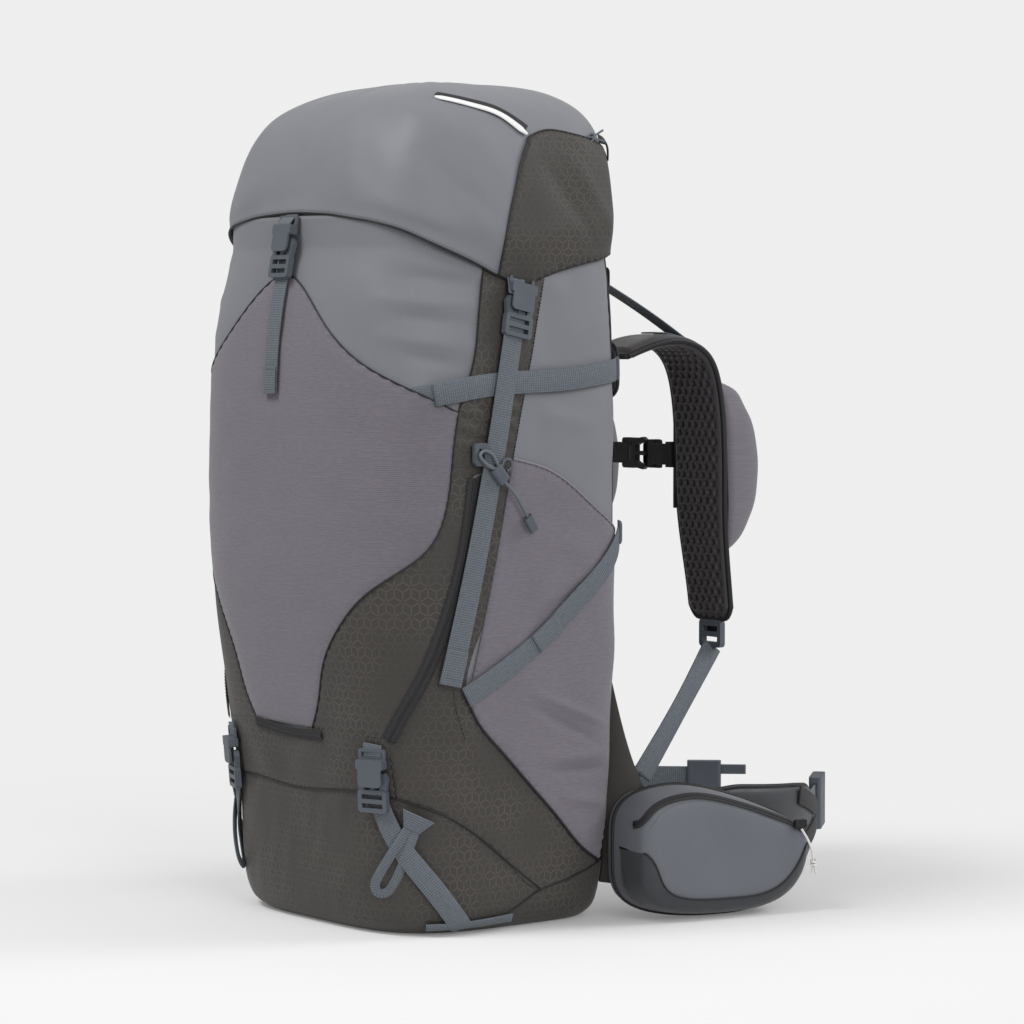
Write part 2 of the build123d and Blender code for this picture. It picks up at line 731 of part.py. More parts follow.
# ---- hip belt ----------------------------------------------------------------------------------
wing_centre = (-14.0, 215.0)     # centre of the right wing's plan arc
wing_inner_radius = 192.0
wing_start, wing_end = -32.0, 42.0
wing_outer_radius = wing_inner_radius + wing_foam
wing_shape = [(112, 22), (112, 104), (210, 112), (300, 104), (330, 100), (352, 88), (352, 52),
              (330, 34), (300, 16), (210, 8), (140, 8)]
pocket_turn = -10.5              # degrees round the arc to the pocket's middle
pocket_length, pocket_height, pocket_z = 168.0, 112.0, 61.0
pocket_root = 24.0               # how far the pocket's form starts inside the wing's face
tip_webbing_length = 92.0


def round_wing(side, radius, turn):
    """X and Y of a point at a radius and turn about the wing's centre."""
    return (side * (wing_centre[0] + radius * cos(radians(turn))),
            wing_centre[1] + radius * sin(radians(turn)))


def wing_wall(side, inner, outer, start, end):
    """Level ring segment about the wing's centre, as high as the wing."""
    with BuildPart() as wall_piece:
        with BuildSketch(Plane.XY.offset(4)):
            with BuildLine():
                middle = (start + end) / 2
                ThreePointArc(round_wing(side, inner, start), round_wing(side, inner, middle),
                              round_wing(side, inner, end))
                Line(round_wing(side, inner, end), round_wing(side, outer, end))
                ThreePointArc(round_wing(side, outer, end), round_wing(side, outer, middle),
                              round_wing(side, outer, start))
                Line(round_wing(side, outer, start), round_wing(side, inner, start))
            make_face()
        extrude(amount=120)
    return wall_piece.part


def pocket_plane(side):
    """Upright plane through the pocket's middle, x towards the belt's tip, z outwards."""
    outwards = (side * cos(radians(pocket_turn)), sin(radians(pocket_turn)), 0)
    along = (-side * sin(radians(pocket_turn)), cos(radians(pocket_turn)), 0)
    middle = round_wing(side, wing_outer_radius - pocket_root, pocket_turn)
    return Plane(origin=(*middle, pocket_z), x_dir=along, z_dir=outwards)


def tip_plane(side, z):
    """Level plane at the wing's tip, y along the webbing's run."""
    turn = radians(wing_end)
    run = (-side * sin(turn), cos(turn), 0)
    tip = round_wing(side, wing_inner_radius + wing_foam / 2, wing_end)
    return Plane(origin=(*tip, z), x_dir=(run[1], -run[0], 0), z_dir=(0, 0, 1))


for side, hand in ((1, "right"), (-1, "left")):
    with BuildPart() as hip_wing:
        add(wing_wall(side, wing_inner_radius, wing_outer_radius, wing_start, wing_end))
        add(side_prism(wing_shape, side), mode=Mode.INTERSECT)
    finish(hip_wing, f"hip_wing_{hand}")

    with BuildPart() as hip_pocket:
        with BuildSketch(pocket_plane(side)):
            Ellipse(pocket_length / 2, pocket_height / 2)
        extrude(amount=pocket_root + pocket_bulge)
        with BuildSketch(Plane.XY):
            with Locations((side * wing_centre[0], wing_centre[1])):
                Circle(wing_outer_radius + layer_gap)
        extrude(amount=200, mode=Mode.SUBTRACT)
    finish(hip_pocket, f"hip_pocket_{hand}")

    with BuildPart() as hip_webbing:
        with BuildSketch(tip_plane(side, 70 - hip_strap_width / 2)):
            with Locations((0, 0.5 + tip_webbing_length / 2)):
                Rectangle(webbing, tip_webbing_length)
        extrude(amount=hip_strap_width)
    finish(hip_webbing, f"hip_webbing_{hand}")

# Hip buckle halves stand on edge, threaded on the webbing: a frame with two slots.
hip_buckle_height = 50.0
hip_slot = 3.2


def hip_frame(side, start, length, slots):
    """Block along the webbing with slots that the webbing threads."""
    place = tip_plane(side, 70 - hip_buckle_height / 2)
    with BuildPart() as block:
        with BuildSketch(place):
            with Locations((0, start + length / 2)):
                RectangleRounded(12, length, 3)
        extrude(amount=hip_buckle_height)
        with BuildSketch(place.offset((hip_buckle_height - hip_strap_width - 1) / 2)):
            with Locations((0, start + slots / 2)):
                Rectangle(hip_slot, slots + 0.01)
        extrude(amount=hip_strap_width + 1, mode=Mode.SUBTRACT)
    return block.part


with BuildPart() as hip_buckle_female:
    add(hip_frame(1, 70, 50, 23.5))
finish(hip_buckle_female, "hip_buckle_female")

with BuildPart() as hip_buckle_male:
    add(hip_frame(-1, 60, 34, 34))
    with BuildSketch(tip_plane(-1, 70 - hip_buckle_height / 2 + 4)):
        with Locations((0, 94 + 12)):
            RectangleRounded(7, 26, 2)
    extrude(amount=9)
    with BuildSketch(tip_plane(-1, 70 + hip_buckle_height / 2 - 13)):
        with Locations((0, 94 + 12)):
            RectangleRounded(7, 26, 2)
    extrude(amount=9)
finish(hip_buckle_male, "hip_buckle_male")

# hip pocket zips: the slider runs round an arc in the pocket's own upright plane
zip_radius = 130.0
zip_rest = 34.0                  # degrees from the top of the arc to the resting slider
zip_centre_drop = 88.0           # the arc's centre below the pocket's middle
pull_route = [(0, -4.5, 0), (5, -13, 2.5), (10, -24, 2.5), (13, -35, 0)]
for side, hand in ((1, "right"), (-1, "left")):
    face = pocket_plane(side).offset(pocket_root + pocket_bulge + layer_gap)
    turn = radians(zip_rest)
    spot = face.from_local_coords((zip_radius * sin(turn),
                                   side * (zip_radius * cos(turn) - zip_centre_drop), 0))
    rest = Plane(origin=spot, x_dir=face.x_dir, z_dir=face.z_dir)
    with BuildPart() as hip_zip_slider:
        with BuildSketch(rest):
            RectangleRounded(12, 8, 2)
        extrude(amount=4)
    finish(hip_zip_slider, f"hip_zip_slider_{hand}")
    place = [tuple(rest.from_local_coords((x, side * y, 2 + z))) for x, y, z in pull_route]
    finish(cord_tube(cord_line(place), 2.2, f"hip_zip_cord_{hand}"), f"hip_zip_cord_{hand}")
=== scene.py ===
"""Hiking backpack: cloth, webbing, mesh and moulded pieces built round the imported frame.

Lengths are in metres. +X is the pack's right side, -Y its front, +Z up.
Cloth panels are sheets on the bag's own surface, which is a rounded box in
level section. A place on it is (s, z): s is the distance round the bag from
the middle of its front, positive to the right, and z is the height.
"""
import json
import math

import bpy
import numpy as np
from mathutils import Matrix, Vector

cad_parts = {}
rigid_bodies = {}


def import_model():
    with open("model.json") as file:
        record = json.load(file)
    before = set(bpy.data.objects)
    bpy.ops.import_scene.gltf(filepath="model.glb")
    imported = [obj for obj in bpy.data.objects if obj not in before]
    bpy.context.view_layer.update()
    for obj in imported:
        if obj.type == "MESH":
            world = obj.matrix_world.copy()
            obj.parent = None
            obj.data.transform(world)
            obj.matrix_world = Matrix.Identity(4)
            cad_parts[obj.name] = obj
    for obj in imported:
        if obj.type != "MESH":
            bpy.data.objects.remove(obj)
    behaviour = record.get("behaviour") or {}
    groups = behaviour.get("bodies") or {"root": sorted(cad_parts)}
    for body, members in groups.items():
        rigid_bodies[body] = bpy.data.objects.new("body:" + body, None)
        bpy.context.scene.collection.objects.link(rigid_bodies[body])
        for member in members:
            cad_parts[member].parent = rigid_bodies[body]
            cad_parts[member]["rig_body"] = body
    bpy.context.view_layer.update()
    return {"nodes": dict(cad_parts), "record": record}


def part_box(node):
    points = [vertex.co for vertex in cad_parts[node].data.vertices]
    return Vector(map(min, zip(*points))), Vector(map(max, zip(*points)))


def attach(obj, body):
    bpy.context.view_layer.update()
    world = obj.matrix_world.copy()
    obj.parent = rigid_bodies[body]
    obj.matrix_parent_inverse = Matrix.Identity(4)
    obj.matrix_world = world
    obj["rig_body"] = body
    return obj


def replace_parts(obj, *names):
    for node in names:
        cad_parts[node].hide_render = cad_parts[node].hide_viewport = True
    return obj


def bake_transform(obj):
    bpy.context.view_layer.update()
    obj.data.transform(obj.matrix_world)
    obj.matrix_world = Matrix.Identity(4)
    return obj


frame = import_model()

MM = 0.001
SIDES = ((1, "right"), (-1, "left"))
LINING_CLOTH = 0.8 * MM         # thickness of plain lining and base cloth

# ---- camera -----------------------------------------------------------------------------
CAMERA_AZIMUTH, CAMERA_ELEVATION, CAMERA_DISTANCE = math.radians(52), math.radians(3), 3.2
AIM_RIGHT, AIM_HEIGHT = 0.0753, 0.362


def add_camera():
    """Camera at the front right, level with the pack's middle, with a long lens."""
    right = Vector((math.cos(CAMERA_AZIMUTH), math.sin(CAMERA_AZIMUTH), 0))
    level = Vector((math.sin(CAMERA_AZIMUTH), -math.cos(CAMERA_AZIMUTH), 0))
    back = level * math.cos(CAMERA_ELEVATION) + Vector((0, 0, math.sin(CAMERA_ELEVATION)))
    lens = bpy.data.cameras.new("camera")
    lens.lens, lens.sensor_width = 123.15, 36
    camera = bpy.data.objects.new("camera", lens)
    bpy.context.scene.collection.objects.link(camera)
    camera.location = right * AIM_RIGHT + Vector((0, 0, AIM_HEIGHT)) + back * CAMERA_DISTANCE
    camera.rotation_euler = back.to_track_quat("Z", "Y").to_euler()
    bpy.context.scene.camera = camera


add_camera()


# ---- curves and small helpers -------------------------------------------------------------
def smooth(t):
    """Eases 0 to 1: 3t^2 - 2t^3, held outside that range."""
    t = np.clip(t, 0.0, 1.0)
    return t * t * (3 - 2 * t)


def cubic(knots, values, at):
    """Natural cubic spline through (knots, values), read at the given places."""
    knots, values = np.asarray(knots, float), np.asarray(values, float)
    values = values.reshape(len(knots), -1)
    gaps = np.diff(knots)
    system = np.eye(len(knots))
    slopes = np.zeros_like(values)
    for i in range(1, len(knots) - 1):
        system[i, i - 1:i + 2] = gaps[i - 1], 2 * (gaps[i - 1] + gaps[i]), gaps[i]
        slopes[i] = 6 * ((values[i + 1] - values[i]) / gaps[i] - (values[i] - values[i - 1]) / gaps[i - 1])
    bends = np.linalg.solve(system, slopes)
    at = np.clip(np.asarray(at, float), knots[0], knots[-1])
    i = np.clip(np.searchsorted(knots, at) - 1, 0, len(gaps) - 1)
    gap = gaps[i][..., None]
    low, high = (knots[i + 1] - at)[..., None], (at - knots[i])[..., None]
    return (bends[i] * low ** 3 / (6 * gap) + bends[i + 1] * high ** 3 / (6 * gap)
            + (values[i] / gap - bends[i] * gap / 6) * low
            + (values[i + 1] / gap - bends[i + 1] * gap / 6) * high)


def length_along(path):
    """Distance along a path at each of its points."""
    return np.r_[0, np.cumsum(np.linalg.norm(np.diff(path, axis=0), axis=1))]


def unit_tangents(path):
    """Direction of a path at each of its points."""
    tangent = np.gradient(path, axis=0)
    return tangent / np.linalg.norm(tangent, axis=1, keepdims=True)


def superellipse(turn, power):
    """Distance from the middle at a turn: (|cos|^n + |sin|^n)^(-1/n)."""
    return (np.abs(np.cos(turn)) ** power + np.abs(np.sin(turn)) ** power) ** (-1 / power)


def run(points, count):
    """A smooth curve through given points, read at evenly spaced places."""
    points = np.asarray(points, float)
    if len(points) == 2:
        return points[0] + (points[1] - points[0]) * np.linspace(0, 1, count)[:, None]
    steps = length_along(points)
    fine = cubic(steps, points, np.linspace(0, steps[-1], 400))
    length = length_along(fine)
    even = np.linspace(0, length[-1], count)
    return np.stack([np.interp(even, length, fine[:, k]) for k in range(points.shape[1])], 1)


def ripple(s, z, size, seed, waves=7):
    """Soft uneven swells about -1 to 1: a few sine waves of mixed direction and length."""
    random = np.random.default_rng(seed)
    total = np.zeros_like(s)
    for _ in range(waves):
        turn, phase = random.uniform(0, 2 * np.pi, 2)
        reach = 2 * np.pi / (size * random.uniform(0.7, 1.8))
        total = total + np.sin((s * np.cos(turn) + z * np.sin(turn)) * reach + phase)
    return total / waves ** 0.5 / 1.3


def crease(s, z, start, end, width, rise):
    """A ridge along a line on the cloth, highest halfway: a bell across, a sine along."""
    line = np.subtract(end, start)
    length = np.hypot(*line)
    along = ((s - start[0]) * line[0] + (z - start[1]) * line[1]) / length ** 2
    across = ((s - start[0]) * -line[1] + (z - start[1]) * line[0]) / length
    return rise * np.exp(-(across / width) ** 2) * np.sin(np.pi * np.clip(along, 0, 1)) ** 0.8


# ---- the bag's and the lid's surfaces ---------------------------------------------------------
FRONT_ROUNDNESS, BACK_ROUNDNESS = 3.8, 4.5
BAG_SIZE = np.array([0.168, 0.170, 0.112])
BAG_HEIGHT = 0.6
BAG_RINGS = np.array([
    (0.0, 0.79, 0.725, 0.87), (0.008, 0.835, 0.765, 0.905), (0.025, 0.88, 0.803, 0.94),
    (0.055, 0.905, 0.826, 0.97), (0.1, 0.915, 0.835, 0.985), (0.18, 0.935, 0.842, 0.99),
    (0.27, 0.952, 0.877, 1.0), (0.34, 0.972, 0.912, 1.0), (0.44, 0.988, 0.96, 1.0),
    (0.54, 0.998, 0.992, 1.0), (0.64, 1.0, 1.0, 1.0), (0.74, 1.0, 1.0, 1.0),
    (0.84, 0.99, 0.988, 1.0), (0.92, 0.97, 0.95, 0.995), (1.0, 0.93, 0.885, 0.97)])
LID_RINGS = np.array([
    (0.560, 0.167, 0.158, 0.112), (0.605, 0.166, 0.155, 0.112), (0.645, 0.1612, 0.1477, 0.1125),
    (0.682, 0.1536, 0.1362, 0.1125), (0.712, 0.1386, 0.1196, 0.108), (0.734, 0.108, 0.092, 0.097),
    (0.7445, 0.074, 0.062, 0.080), (0.7495, 0.036, 0.03, 0.052), (0.7505, 0.0005, 0.0005, 0.024)])
LID_STEPS = np.array([0, 0.16, 0.32, 0.46, 0.58, 0.7, 0.8, 0.9, 1.0])


def rounded_box(turn, width, front, back):
    """Level section: |x/width|^n + |y/depth|^n = 1, its depth and n differing front and back."""
    across, along = np.sin(turn), -np.cos(turn)
    ahead = along < 0
    n = np.where(ahead, FRONT_ROUNDNESS, BACK_ROUNDNESS)
    depth = np.where(ahead, front, back)
    reach = ((np.abs(across) / width) ** n + (np.abs(along) / depth) ** n) ** (-1 / n)
    return reach * across, reach * along


TURNS = np.linspace(0, np.pi, 721)
_x, _y = rounded_box(TURNS, *(BAG_SIZE + 0.002))
AROUND = np.r_[0, np.cumsum(np.hypot(np.diff(_x), np.diff(_y)))]
HALF_AROUND = AROUND[-1]


def turn_of(s):
    """Turn about the upright axis at a distance round the bag."""
    return np.sign(s) * np.interp(np.abs(s), AROUND, TURNS)


def bag(s, z, out=0.0):
    """Point of the bag's surface at (s, z), pushed out by out."""
    s, z = np.broadcast_arrays(np.asarray(s, float), np.asarray(z, float))
    size = cubic(BAG_RINGS[:, 0], BAG_RINGS[:, 1:], np.clip(z / BAG_HEIGHT, 0, 1)) * BAG_SIZE
    size = size + np.asarray(out)[..., None]
    x, y = rounded_box(turn_of(s), size[..., 0], size[..., 1], size[..., 2])
    return np.stack([x, y, z], -1)


def lid_point(turn, step, out=0.0):
    """Point of the lid's surface: step runs 0 to 1 from its lowest ring to the crown."""
    turn, step = np.broadcast_arrays(np.asarray(turn, float), np.asarray(step, float))
    ring = cubic(LID_STEPS, LID_RINGS, step)
    near_top = smooth((step - 0.45) / 0.5)
    out = np.asarray(out) * np.ones_like(step)
    size = np.maximum(ring[..., 1:] + (out * (1 - near_top))[..., None], 1e-4)
    x, y = rounded_box(turn, size[..., 0], size[..., 1], size[..., 2])
    return np.stack([x, y, ring[..., 0] + out * near_top], -1)


def lid_step_at(height):
    """Step of the lid's surface at a height."""
    steps = np.linspace(0, 1, 400)
    return np.interp(height, cubic(LID_STEPS, LID_RINGS, steps)[:, 0], steps)


def front_spot(x, z, out=0.0):
    """(s, z) of the front surface at an X."""
    turns = np.linspace(0, 1.4, 1200)
    size = cubic(BAG_RINGS[:, 0], BAG_RINGS[:, 1:], np.array(z / BAG_HEIGHT)) * BAG_SIZE + out
    xs, _ = rounded_box(turns, *size)
    keep = np.argmax(xs)
    turn = np.interp(abs(x), xs[:keep + 1], turns[:keep + 1])
    return (np.sign(x) * np.interp(turn, TURNS, AROUND), z)


def side_spot(y, z, out=0.0):
    """(s, z) of the right side surface at a Y."""
    turns = np.linspace(0.3, 2.9, 2000)
    size = cubic(BAG_RINGS[:, 0], BAG_RINGS[:, 1:], np.array(z / BAG_HEIGHT)) * BAG_SIZE + out
    _, ys = rounded_box(turns, *size)
    return (np.interp(np.interp(y, ys, turns), TURNS, AROUND), z)


def outward(surface, s, z, out=0.0, step=0.0008):
    """Unit normal of a surface at (s, z), from its two tangents."""
    along = surface(s + step, z, out) - surface(s - step, z, out)
    up = surface(s, z + step, out) - surface(s, z - step, out)
    normal = np.cross(along, up)
    return normal / np.linalg.norm(normal, axis=-1, keepdims=True)


# ---- making pieces ----------------------------------------------------------------------------
def mesh_piece(name, points, faces, body, material, uv=None, smooth_shade=True):
    """A new mesh object that rides on a body and has one material."""
    mesh = bpy.data.meshes.new(name)
    mesh.from_pydata(np.asarray(points, float).reshape(-1, 3).tolist(), [], [list(f) for f in faces])
    if uv is not None:
        layer = mesh.uv_layers.new(name="cloth")
        corners = np.empty(len(mesh.loops), int)
        mesh.loops.foreach_get("vertex_index", corners)
        layer.data.foreach_set("uv", np.asarray(uv, float).reshape(-1, 2)[corners].ravel())
    mesh.polygons.foreach_set("use_smooth", np.full(len(mesh.polygons), smooth_shade))
    mesh.validate()
    piece = bpy.data.objects.new(name, mesh)
    bpy.context.scene.collection.objects.link(piece)
    piece.data.materials.append(MATERIALS[material])
    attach(piece, body)
    return piece


def grid_faces(rows, columns, wrap_rows=False, wrap_columns=False):
    """Quads of a grid of points; a wrapped direction joins its last row to its first."""
    i = np.arange(rows if wrap_rows else rows - 1)[:, None]
    j = np.arange(columns if wrap_columns else columns - 1)[None, :]
    ni, nj = (i + 1) % rows, (j + 1) % columns
    return np.stack(np.broadcast_arrays(i * columns + j, i * columns + nj, ni * columns + nj,
                                        ni * columns + j), -1).reshape(-1, 4)


def thicken(piece, thickness, subdivide=0):
    """Gives a sheet its thickness inwards, and rounds it."""
    solid = piece.modifiers.new("thickness", "SOLIDIFY")
    solid.thickness, solid.offset = thickness, -1
    if subdivide:
        round_off = piece.modifiers.new("round", "SUBSURF")
        round_off.levels = round_off.render_levels = subdivide
    return piece


def frames_along(path, normals):
    """Unit tangents, sideways directions and true normals along a path."""
    tangent = unit_tangents(path)
    sideways = np.cross(tangent, normals)
    sideways /= np.linalg.norm(sideways, axis=1, keepdims=True)
    return tangent, sideways, np.cross(sideways, tangent)


def ribbon(name, path, normals, width, thickness, body, material, taper=None, edge_wave=0.0):
    """Webbing along a path: a flat section with rounded edges, its inner face on the path."""
    path, normals = np.asarray(path, float), np.asarray(normals, float)
    _, sideways, normal = frames_along(path, normals)
    half, thin = width / 2, thickness / 2
    corner = np.array([(-half, 0.3), (-half + thin, 0), (0, 0), (half - thin, 0), (half, 0.3), (half, 0.7),
                       (half - thin, 1), (0, 1.12), (-half + thin, 1), (-half, 0.7)])
    scale = np.ones(len(path)) if taper is None else taper
    across = corner[None, :, 0] * scale[:, None]
    rise = corner[None, :, 1] * thickness * np.ones_like(across)
    length = length_along(path)
    if edge_wave:
        rise = rise + edge_wave * np.sin(length * 90)[:, None] * (across / half) ** 2
    points = (path[:, None] + sideways[:, None] * across[..., None] + normal[:, None] * rise[..., None])
    count = len(corner)
    faces = grid_faces(len(path), count, wrap_columns=True)[:, ::-1].tolist()
    faces += [list(range(count)), list(range((len(path) - 1) * count, len(path) * count))[::-1]]
    uv = np.stack([across, length[:, None] * np.ones_like(across)], -1)
    return mesh_piece(name, points, faces, body, material, uv)


def tube(name, path, radius, body, material, sides=10, flat=1.0, normals=None):
    """A round or flattened tube along a path, its ends closed to points."""
    path = np.asarray(path, float)
    if normals is None:
        tangent = unit_tangents(path)
        seed = np.array([0.31, 0.17, 0.93])
        normals = seed - tangent * (tangent @ seed)[:, None]
    _, sideways, normal = frames_along(path, normals)
    round_ = np.linspace(0, 2 * np.pi, sides, endpoint=False)
    radius = np.ones(len(path)) * radius
    ring = (sideways[:, None] * np.cos(round_)[None, :, None]
            + normal[:, None] * np.sin(round_)[None, :, None] * flat) * radius[:, None, None]
    points = np.concatenate([path[:1], (path[:, None] + ring).reshape(-1, 3), path[-1:]])
    faces = (grid_faces(len(path), sides, wrap_columns=True)[:, ::-1] + 1).tolist()
    last = len(points) - 1
    faces += [[0, 1 + j, 1 + (j + 1) % sides] for j in range(sides)]
    faces += [[last, last - sides + (j + 1) % sides, last - sides + j] for j in range(sides)]
    return mesh_piece(name, points, faces, body, material)


def seam_line(name, places, body="bag", surface=bag, radius=0.9 * MM, out=1.2 * MM, count=140,
              material="dark_binding"):
    """A piped seam lying on a surface through places in (s, z)."""
    line = run(places, count)
    path = surface(line[:, 0], line[:, 1], out)
    return tube(name, path, radius, body, material, sides=8)


def stitches(name, path, normals, body, material="thread", pitch=3.2 * MM, size=0.42 * MM, lift=0.3 * MM,
             offset=0.0):
    """A row of short raised stitches along a path: one flattened four-sided bead each."""
    path = np.asarray(path, float)
    tangent, sideways, normal = frames_along(path, np.asarray(normals, float))
    length = length_along(path)
    at = np.arange(pitch / 2, length[-1] - pitch / 2, pitch)

    def read(values):
        return np.stack([np.interp(at, length, values[:, k]) for k in range(3)], 1)

    centre, ahead, up, beside = read(path), read(tangent), read(normal), read(sideways)
    centre = centre + up * lift + beside * offset
    reach = pitch * 0.36
    corners = [(-reach, 0, 0), (0, size, 0), (reach, 0, 0), (0, -size, 0), (0, 0, size)]
    points = np.stack([centre + ahead * a + beside * b + up * c for a, b, c in corners], 1)
    shape = np.array([(4, 1, 0), (4, 2, 1), (4, 3, 2), (4, 0, 3), (1, 2, 3), (0, 1, 3)])
    faces = (shape[None] + 5 * np.arange(len(at))[:, None, None]).reshape(-1, 3)
    return mesh_piece(name, points.reshape(-1, 3), faces, body, material, smooth_shade=False)


# ---- materials --------------------------------------------------------------------------------
def linear(colour):
    """Linear light from an 0-255 display colour."""
    c = np.asarray(colour, float) / 255
    return [*np.where(c <= 0.04045, c / 12.92, ((c + 0.055) / 1.055) ** 2.4), 1.0]


class Net:
    """Short calls that add nodes to a material or a group and link them."""

    def __init__(self, tree):
        self.tree = tree

    def node(self, kind, inputs=(), output=0, **settings):
        """Adds a node, sets or links its inputs and gives back one of its outputs."""
        made = self.tree.nodes.new(kind)
        for key, value in settings.items():
            setattr(made, key, value)
        items = inputs.items() if isinstance(inputs, dict) else enumerate(inputs)
        for key, value in items:
            if isinstance(value, bpy.types.NodeSocket):
                self.tree.links.new(value, made.inputs[key])
            elif value is not None:
                made.inputs[key].default_value = value
        return made.outputs[output]

    def math(self, operation, *inputs):
        return self.node("ShaderNodeMath", inputs, operation=operation)

    def vector(self, operation, *inputs, output=0):
        return self.node("ShaderNodeVectorMath", inputs, output, operation=operation)

    def split(self, value):
        """X, Y and Z of a vector."""
        return self.node("ShaderNodeSeparateXYZ", [value]).node.outputs

    def scale(self, colour, amount):
        """A colour made brighter or darker by an amount."""
        return self.node("ShaderNodeVectorMath", {0: colour, "Scale": amount}, operation="SCALE")

    def swing(self, value, amount):
        """A 0 to 1 value turned into one about 0: (value - 0.5) * amount."""
        return self.math("MULTIPLY", self.math("SUBTRACT", value, 0.5), amount)

    def noise(self, place, scale, detail=2.0, output="Fac"):
        return self.node("ShaderNodeTexNoise", {"Vector": place, "Scale": scale, "Detail": detail}, output)

    def span(self, value, low, high, to_low=0.0, to_high=1.0):
        return self.node("ShaderNodeMapRange", [value, low, high, to_low, to_high],
                         interpolation_type="SMOOTHSTEP")

    def mix(self, share, a, b):
        made = self.tree.nodes.new("ShaderNodeMix")
        made.data_type = "RGBA"
        for index, value in ((0, share), (6, a), (7, b)):
            if isinstance(value, bpy.types.NodeSocket):
                self.tree.links.new(value, made.inputs[index])
            else:
                made.inputs[index].default_value = value
        return made.outputs[2]


def shader_group(name, inputs, outputs):
    """A node group with named sockets; gives back its net, its inputs and its output node."""
    tree = bpy.data.node_groups.new(name, "ShaderNodeTree")
    for socket, kind in inputs.items():
        tree.interface.new_socket(socket, in_out="INPUT", socket_type=kind)
    for socket, kind in outputs.items():
        tree.interface.new_socket(socket, in_out="OUTPUT", socket_type=kind)
    return Net(tree), tree.nodes.new("NodeGroupInput").outputs, tree.nodes.new("NodeGroupOutput").inputs


FLOAT, COLOUR, PLACE = "NodeSocketFloat", "NodeSocketColor", "NodeSocketVector"


def make_weave():
    """Plain weave: height is the product of two sines across and along; shade adds soft slubs, and the raised
    threads are painted slightly brighter as a painted highlight.
    """
    net, into, out = shader_group("weave", {"Place": PLACE, "Pitch": FLOAT, "Base": COLOUR, "Slub": FLOAT},
                                  {"Colour": COLOUR, "Height": FLOAT})
    reach = net.math("DIVIDE", 2 * math.pi, into["Pitch"])
    parts = net.split(into["Place"])
    across = net.math("SINE", net.math("MULTIPLY", parts[0], reach))
    along = net.math("SINE", net.math("MULTIPLY", parts[1], reach))
    threads = net.math("MULTIPLY", across, along)
    stretched = net.vector("MULTIPLY", into["Place"], (900, 90, 900))
    slubs = net.noise(stretched, 1.0, 3.0)
    stains = net.noise(into["Place"], 14.0, 3.0)
    shade = net.math("ADD", net.swing(slubs, into["Slub"]),
                     net.swing(stains, 0.12))
    # threads also brighten the colour where the weave rises: a small painted highlight
    shade = net.math("ADD", shade, net.math("MULTIPLY", threads, 0.03))
    shaded = net.scale(into["Base"], net.math("ADD", shade, 1.0))
    net.tree.links.new(shaded, out["Colour"])
    net.tree.links.new(net.math("MULTIPLY", threads, 0.5), out["Height"])
    return net.tree


def make_ribs():
    """Broken ribs across the cloth: a sine up the cloth, thinned where a long noise is low; the grooves are
    coloured darker, towards Line, as painted shade.
    """
    net, into, out = shader_group("ribs", {"Place": PLACE, "Pitch": FLOAT, "Base": COLOUR, "Line": COLOUR},
                                  {"Colour": COLOUR, "Height": FLOAT})
    parts = net.split(into["Place"])
    wander = net.noise(into["Place"], 60.0, 2.0)
    up = net.math("ADD", parts[1], net.math("MULTIPLY", wander, 0.0012))
    wave = net.math("SINE", net.math("MULTIPLY", up, net.math("DIVIDE", 2 * math.pi, into["Pitch"])))
    breaks = net.noise(net.vector("MULTIPLY", into["Place"], (130, 420, 0)), 1.0, 2.0)
    dash = net.span(breaks, 0.36, 0.6)
    groove = net.math("MULTIPLY", net.span(wave, 0.1, 0.95), dash)
    fine = net.noise(net.vector("MULTIPLY", into["Place"], (1400, 1400, 0)), 1.0, 1.0)
    soft = net.noise(into["Place"], 9.0, 2.0)
    # groove darkens the colour where the rib sinks: painted shade in the grooves
    share = net.math("ADD", net.math("MULTIPLY", groove, 0.75),
                     net.swing(fine, 0.35))
    share = net.math("ADD", share, net.swing(soft, 0.5))
    net.tree.links.new(net.mix(share, into["Base"], into["Line"]), out["Colour"])
    net.tree.links.new(net.math("MULTIPLY", groove, -1.0), out["Height"])
    return net.tree


